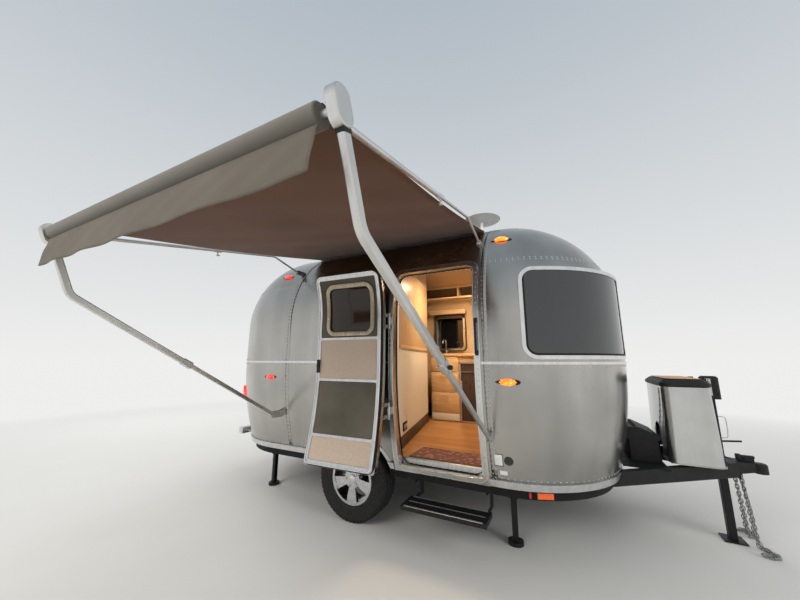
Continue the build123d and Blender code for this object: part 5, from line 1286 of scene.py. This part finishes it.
def doorMat():
    bm = bmesh.new()
    bmesh.ops.create_grid(bm, x_segments=30, y_segments=16, size=0.5)
    (x0, x1), (y0, y1), low, thick = mat["x"], mat["y"], mat["z"], mat["thick"]
    for v in bm.verts:
        across, along = v.co.x + 0.5, v.co.y + 0.5
        ripple = mat["ripple"] * (1 + sin(7 * across + 4 * along))
        v.co = at(x0 + (x1 - x0) * across, y0 + (y1 - y0) * along, low + thick + ripple)
    piece = toPiece("doorMat", bm, "matPile", smooth=180, tidy=True)
    if piece.data.polygons[0].normal.z < 0:
        piece.data.flip_normals()
    thicken(piece, thick)
    over, past, lap = mat["binding"]
    strips = ((x0 - over, x1 + over, y0 - past, y0 + lap), (x0 - over, x1 + over, y1 - lap, y1 + past),
              (x0 - over, x0 + lap, y0, y1), (x1 - lap, x1 + over, y0, y1))
    blocks = [((left, near, low), (right, far, low + thick + mat["bindingOver"]), mat["bindingEdge"])
              for left, right, near, far in strips]
    partsPiece("doorMatBinding", "darkInside", blocks, slot="bed_cloth")


doorMat()

# Overhead locker: pale edging, and dark sheets that lean with the wall at the bays' backs, painted shade in the bays
locker = {
    "y": (0.796, 0.801), "edge": 0.0015, "edging": (
        (-0.15, 0.98, 2.190, 2.214), (-0.15, 0.98, 2.338, 2.371), (0.396, 0.414, 2.19, 2.36),
        (0.671, 0.689, 2.19, 2.36), (-0.15, -0.131, 2.19, 2.36), (0.961, 0.98, 2.19, 2.36)),
    "backs": ((-0.128, 0.393), (0.417, 0.668), (0.692, 0.957)), "backThick": (-0.004, 0.003), "backEdge": 0.001,
    "backFoot": (0.975, 2.214), "backTop": (0.815, 2.352),
}


def lockerTrim():
    near, far = locker["y"]
    partsPiece("lockerEdging", "mapleLong", [((x0, near, z0), (x1, far, z1), locker["edge"])
                                             for x0, x1, z0, z1 in locker["edging"]])
    foot, top = Vector((0, *locker["backFoot"])), Vector((0, *locker["backTop"]))
    long = (top - foot).length
    near, far = locker["backThick"]
    # the dark sheets are painted shade at the backs of the bays
    partsPiece("lockerBackShade", "darkInside", [((left, near, 0), (right, far, long), locker["backEdge"])
                                             for left, right in locker["backs"]],
               place=Matrix.Translation(at(*foot)) @ Matrix.Rotation(asin((foot.y - top.y) / long), 4, "X"))


lockerTrim()
print("room fitted out")

# Step lips, arm collars and knobs

stepLips = {"x": (0.560, 1.131), "z": (0.279, 0.2835), "edge": 0.0015,
            "rows": ((-1.238, -1.222), (-1.150, -1.140), (-1.062, -1.052))}
partsPiece("stepLips", "frameMetal", body="entry_step", blocks=[
    ((stepLips["x"][0], near, stepLips["z"][0]), (stepLips["x"][1], far, stepLips["z"][1]), stepLips["edge"])
    for near, far in stepLips["rows"]])

arms = {
    "x": (1.205, -0.801), "foot": (-1.2598, 0.815), "bend": (-2.80, 1.690), "joint": 0.94, "head": (-2.922, 2.011),
    "collar": ((-0.0185, -0.0235, -0.004), (0.0185, 0.0235, 0.050), 0.004),
    "seam": ((-0.0158, -0.0205, -0.071), (0.0158, 0.0205, -0.056), 0.002), "knob": (0.018, 0.022, 0.011, 0.0095, 0.017),
}


def armStand(x, spot, run):  # a frame on an arm, with Z along it
    across = Vector((1, 0, 0))
    turn = Matrix((across, run.cross(across), run)).transposed().to_4x4()
    return Matrix.Translation(at(x, spot.y, spot.z)) @ turn


def armCollars():
    foot, bend, head = (Vector((0, *arms[key])) for key in ("foot", "bend", "head"))
    run = (bend - foot).normalized()
    reach, up, radius, tip, long = arms["knob"]
    for index, (x, out) in enumerate(zip(arms["x"], (1, -1))):  # the knob is on the side away from the rafter
        stand = armStand(x, foot + run * arms["joint"], run)
        partsPiece("armCollar" + str(index + 1), "frameMetal", [arms["collar"]], place=stand, body="awning_head",
                   slot="awning_tube")
        bm = bmesh.new()
        addRound(bm, stand @ Vector((out * reach, 0, up)), (out, 0, 0), radius, tip, long, 20)
        addBlock(bm, *arms["seam"], armStand(x, head, (head - bend).normalized()))  # the casting's black seam
        toPiece("armKnob" + str(index + 1), bm, "blackPlastic", "awning_head")


armCollars()
print("step and awning arms trimmed")

# Camera, light and floor

camera = {"place": (1.707, -3.529, 1.325), "yaw": 117.209, "pitch": 10.61, "roll": -0.066, "lens": 14.367,
          "sensor": 36, "clip": (0.05, 200)}


def makeCamera():
    yaw, pitch = radians(camera["yaw"]), radians(camera["pitch"])
    ahead = Vector((cos(yaw) * cos(pitch), sin(yaw) * cos(pitch), sin(pitch)))
    lens = bpy.data.cameras.new("camera")
    lens.sensor_width = camera["sensor"]
    lens.lens = camera["lens"]
    lens.clip_start, lens.clip_end = camera["clip"]
    made = intoScene("camera", lens)
    made.location = at(*camera["place"])
    made.rotation_mode = "QUATERNION"
    roll = Matrix.Rotation(radians(camera["roll"]), 4, ahead).to_quaternion()
    made.rotation_quaternion = roll @ ahead.to_track_quat("-Z", "Y")
    bpy.context.scene.camera = made


makeCamera()

# Soft lamps: place, aimed at, size, watts, colour
lamps = {
    "doorSideKey": ((-1.5, -7.5, 5.5), (0.3, 0, 1.2), 5.0, 520, (1.0, 0.98, 0.95)),
    "noseFill": ((7.5, -3.0, 3.5), (1.2, 0, 1.2), 4.0, 260, (0.95, 0.97, 1.0)),
    "roadSideFill": ((0, 8.0, 5.0), (0, 0, 1.2), 5.0, 320, (1.0, 1.0, 1.0)),
    "tailFill": ((-7.5, 1.0, 4.0), (-1, 0, 1.2), 4.0, 240, (1.0, 1.0, 1.0)),
    "overhead": ((0.3, -0.5, 8.0), (0.3, 0, 0), 6.0, 150, (1.0, 1.0, 1.0)),
    "roomGlow": ((0.70, 0.15, 2.30), (0.62, 0.35, 0), 0.5, 27, (1.0, 0.76, 0.50)),
}


def makeLamps():
    for name, (place, aim, size, watts, colour) in lamps.items():
        light = bpy.data.lights.new(name, "AREA")
        light.shape = "SQUARE"
        light.size = size
        light.energy = watts
        light.color = colour
        made = intoScene(name, light)
        made.location = at(*place)
        made.rotation_mode = "QUATERNION"
        made.rotation_quaternion = (at(*aim) - at(*place)).to_track_quat("-Z", "Y")
        made.visible_glossy = name == "roomGlow"  # metal and glass show the backdrop, not the lamps


makeLamps()

surround = {"floor": (0.60, 0.59, 0.56), "horizon": (0.86, 0.86, 0.85), "zenith": (0.42, 0.48, 0.54), "fill": 0.5,
            "radius": 90, "below": 0.0005, "fade": (2.5, 10.0), "mottle": 0.97}


def makeFloor():
    bm = bmesh.new()
    bmesh.ops.create_circle(bm, cap_ends=True, segments=96, radius=surround["radius"])
    material, tree, shader = startMaterial("studioFloor", {"Roughness": 0.85, "Specular IOR Level": 0.2})
    tone = spread(tree, noise(tree, coordinates(tree), 1.4, 3), 0.0, 1.0)
    shade = tuple(c * surround["mottle"] for c in surround["floor"])
    feed(shader, {"Base Color": mixed(tree, tone, shade, surround["floor"])})
    far = addNode(tree, "Emission", {"Color": surround["horizon"]})  # far off, the floor runs into the pale horizon
    distance = addNode(tree, "VectorMath", {0: coordinates(tree)}, operation="LENGTH")
    fade = spread(tree, distance.outputs["Value"], 0, 1, *surround["fade"])
    both = addNode(tree, "MixShader", {0: fade, 1: shader.outputs[0], 2: far.outputs[0]})
    feed(tree.nodes["Material Output"], {"Surface": both.outputs[0]})
    floor = intoScene("studioFloor", meshOf("studioFloor", bm))
    floor.data.materials.append(material)
    floor.location.z = -surround["below"]


def makeWorld():
    world = bpy.data.worlds.new("studio")
    bpy.context.scene.world = world
    world.use_nodes = True
    tree = world.node_tree
    direction = addNode(tree, "SeparateXYZ", {0: addNode(tree, "TexCoord").outputs["Generated"]})
    height = spread(tree, direction.outputs["Z"], 0, 1, 0.0, 0.85)
    rays = addNode(tree, "LightPath")
    seen = maths(tree, "MAXIMUM", rays.outputs["Is Camera Ray"], rays.outputs["Is Glossy Ray"])
    seen = maths(tree, "MAXIMUM", seen, rays.outputs["Is Transmission Ray"])
    feed(tree.nodes["Background"], {"Color": mixed(tree, height, surround["horizon"], surround["zenith"]),
                                    "Strength": spread(tree, seen, surround["fill"], 1, 0, 1)})


makeFloor()
makeWorld()
bpy.context.scene.view_settings.view_transform = "Standard"
print("camera, lamps and floor set")
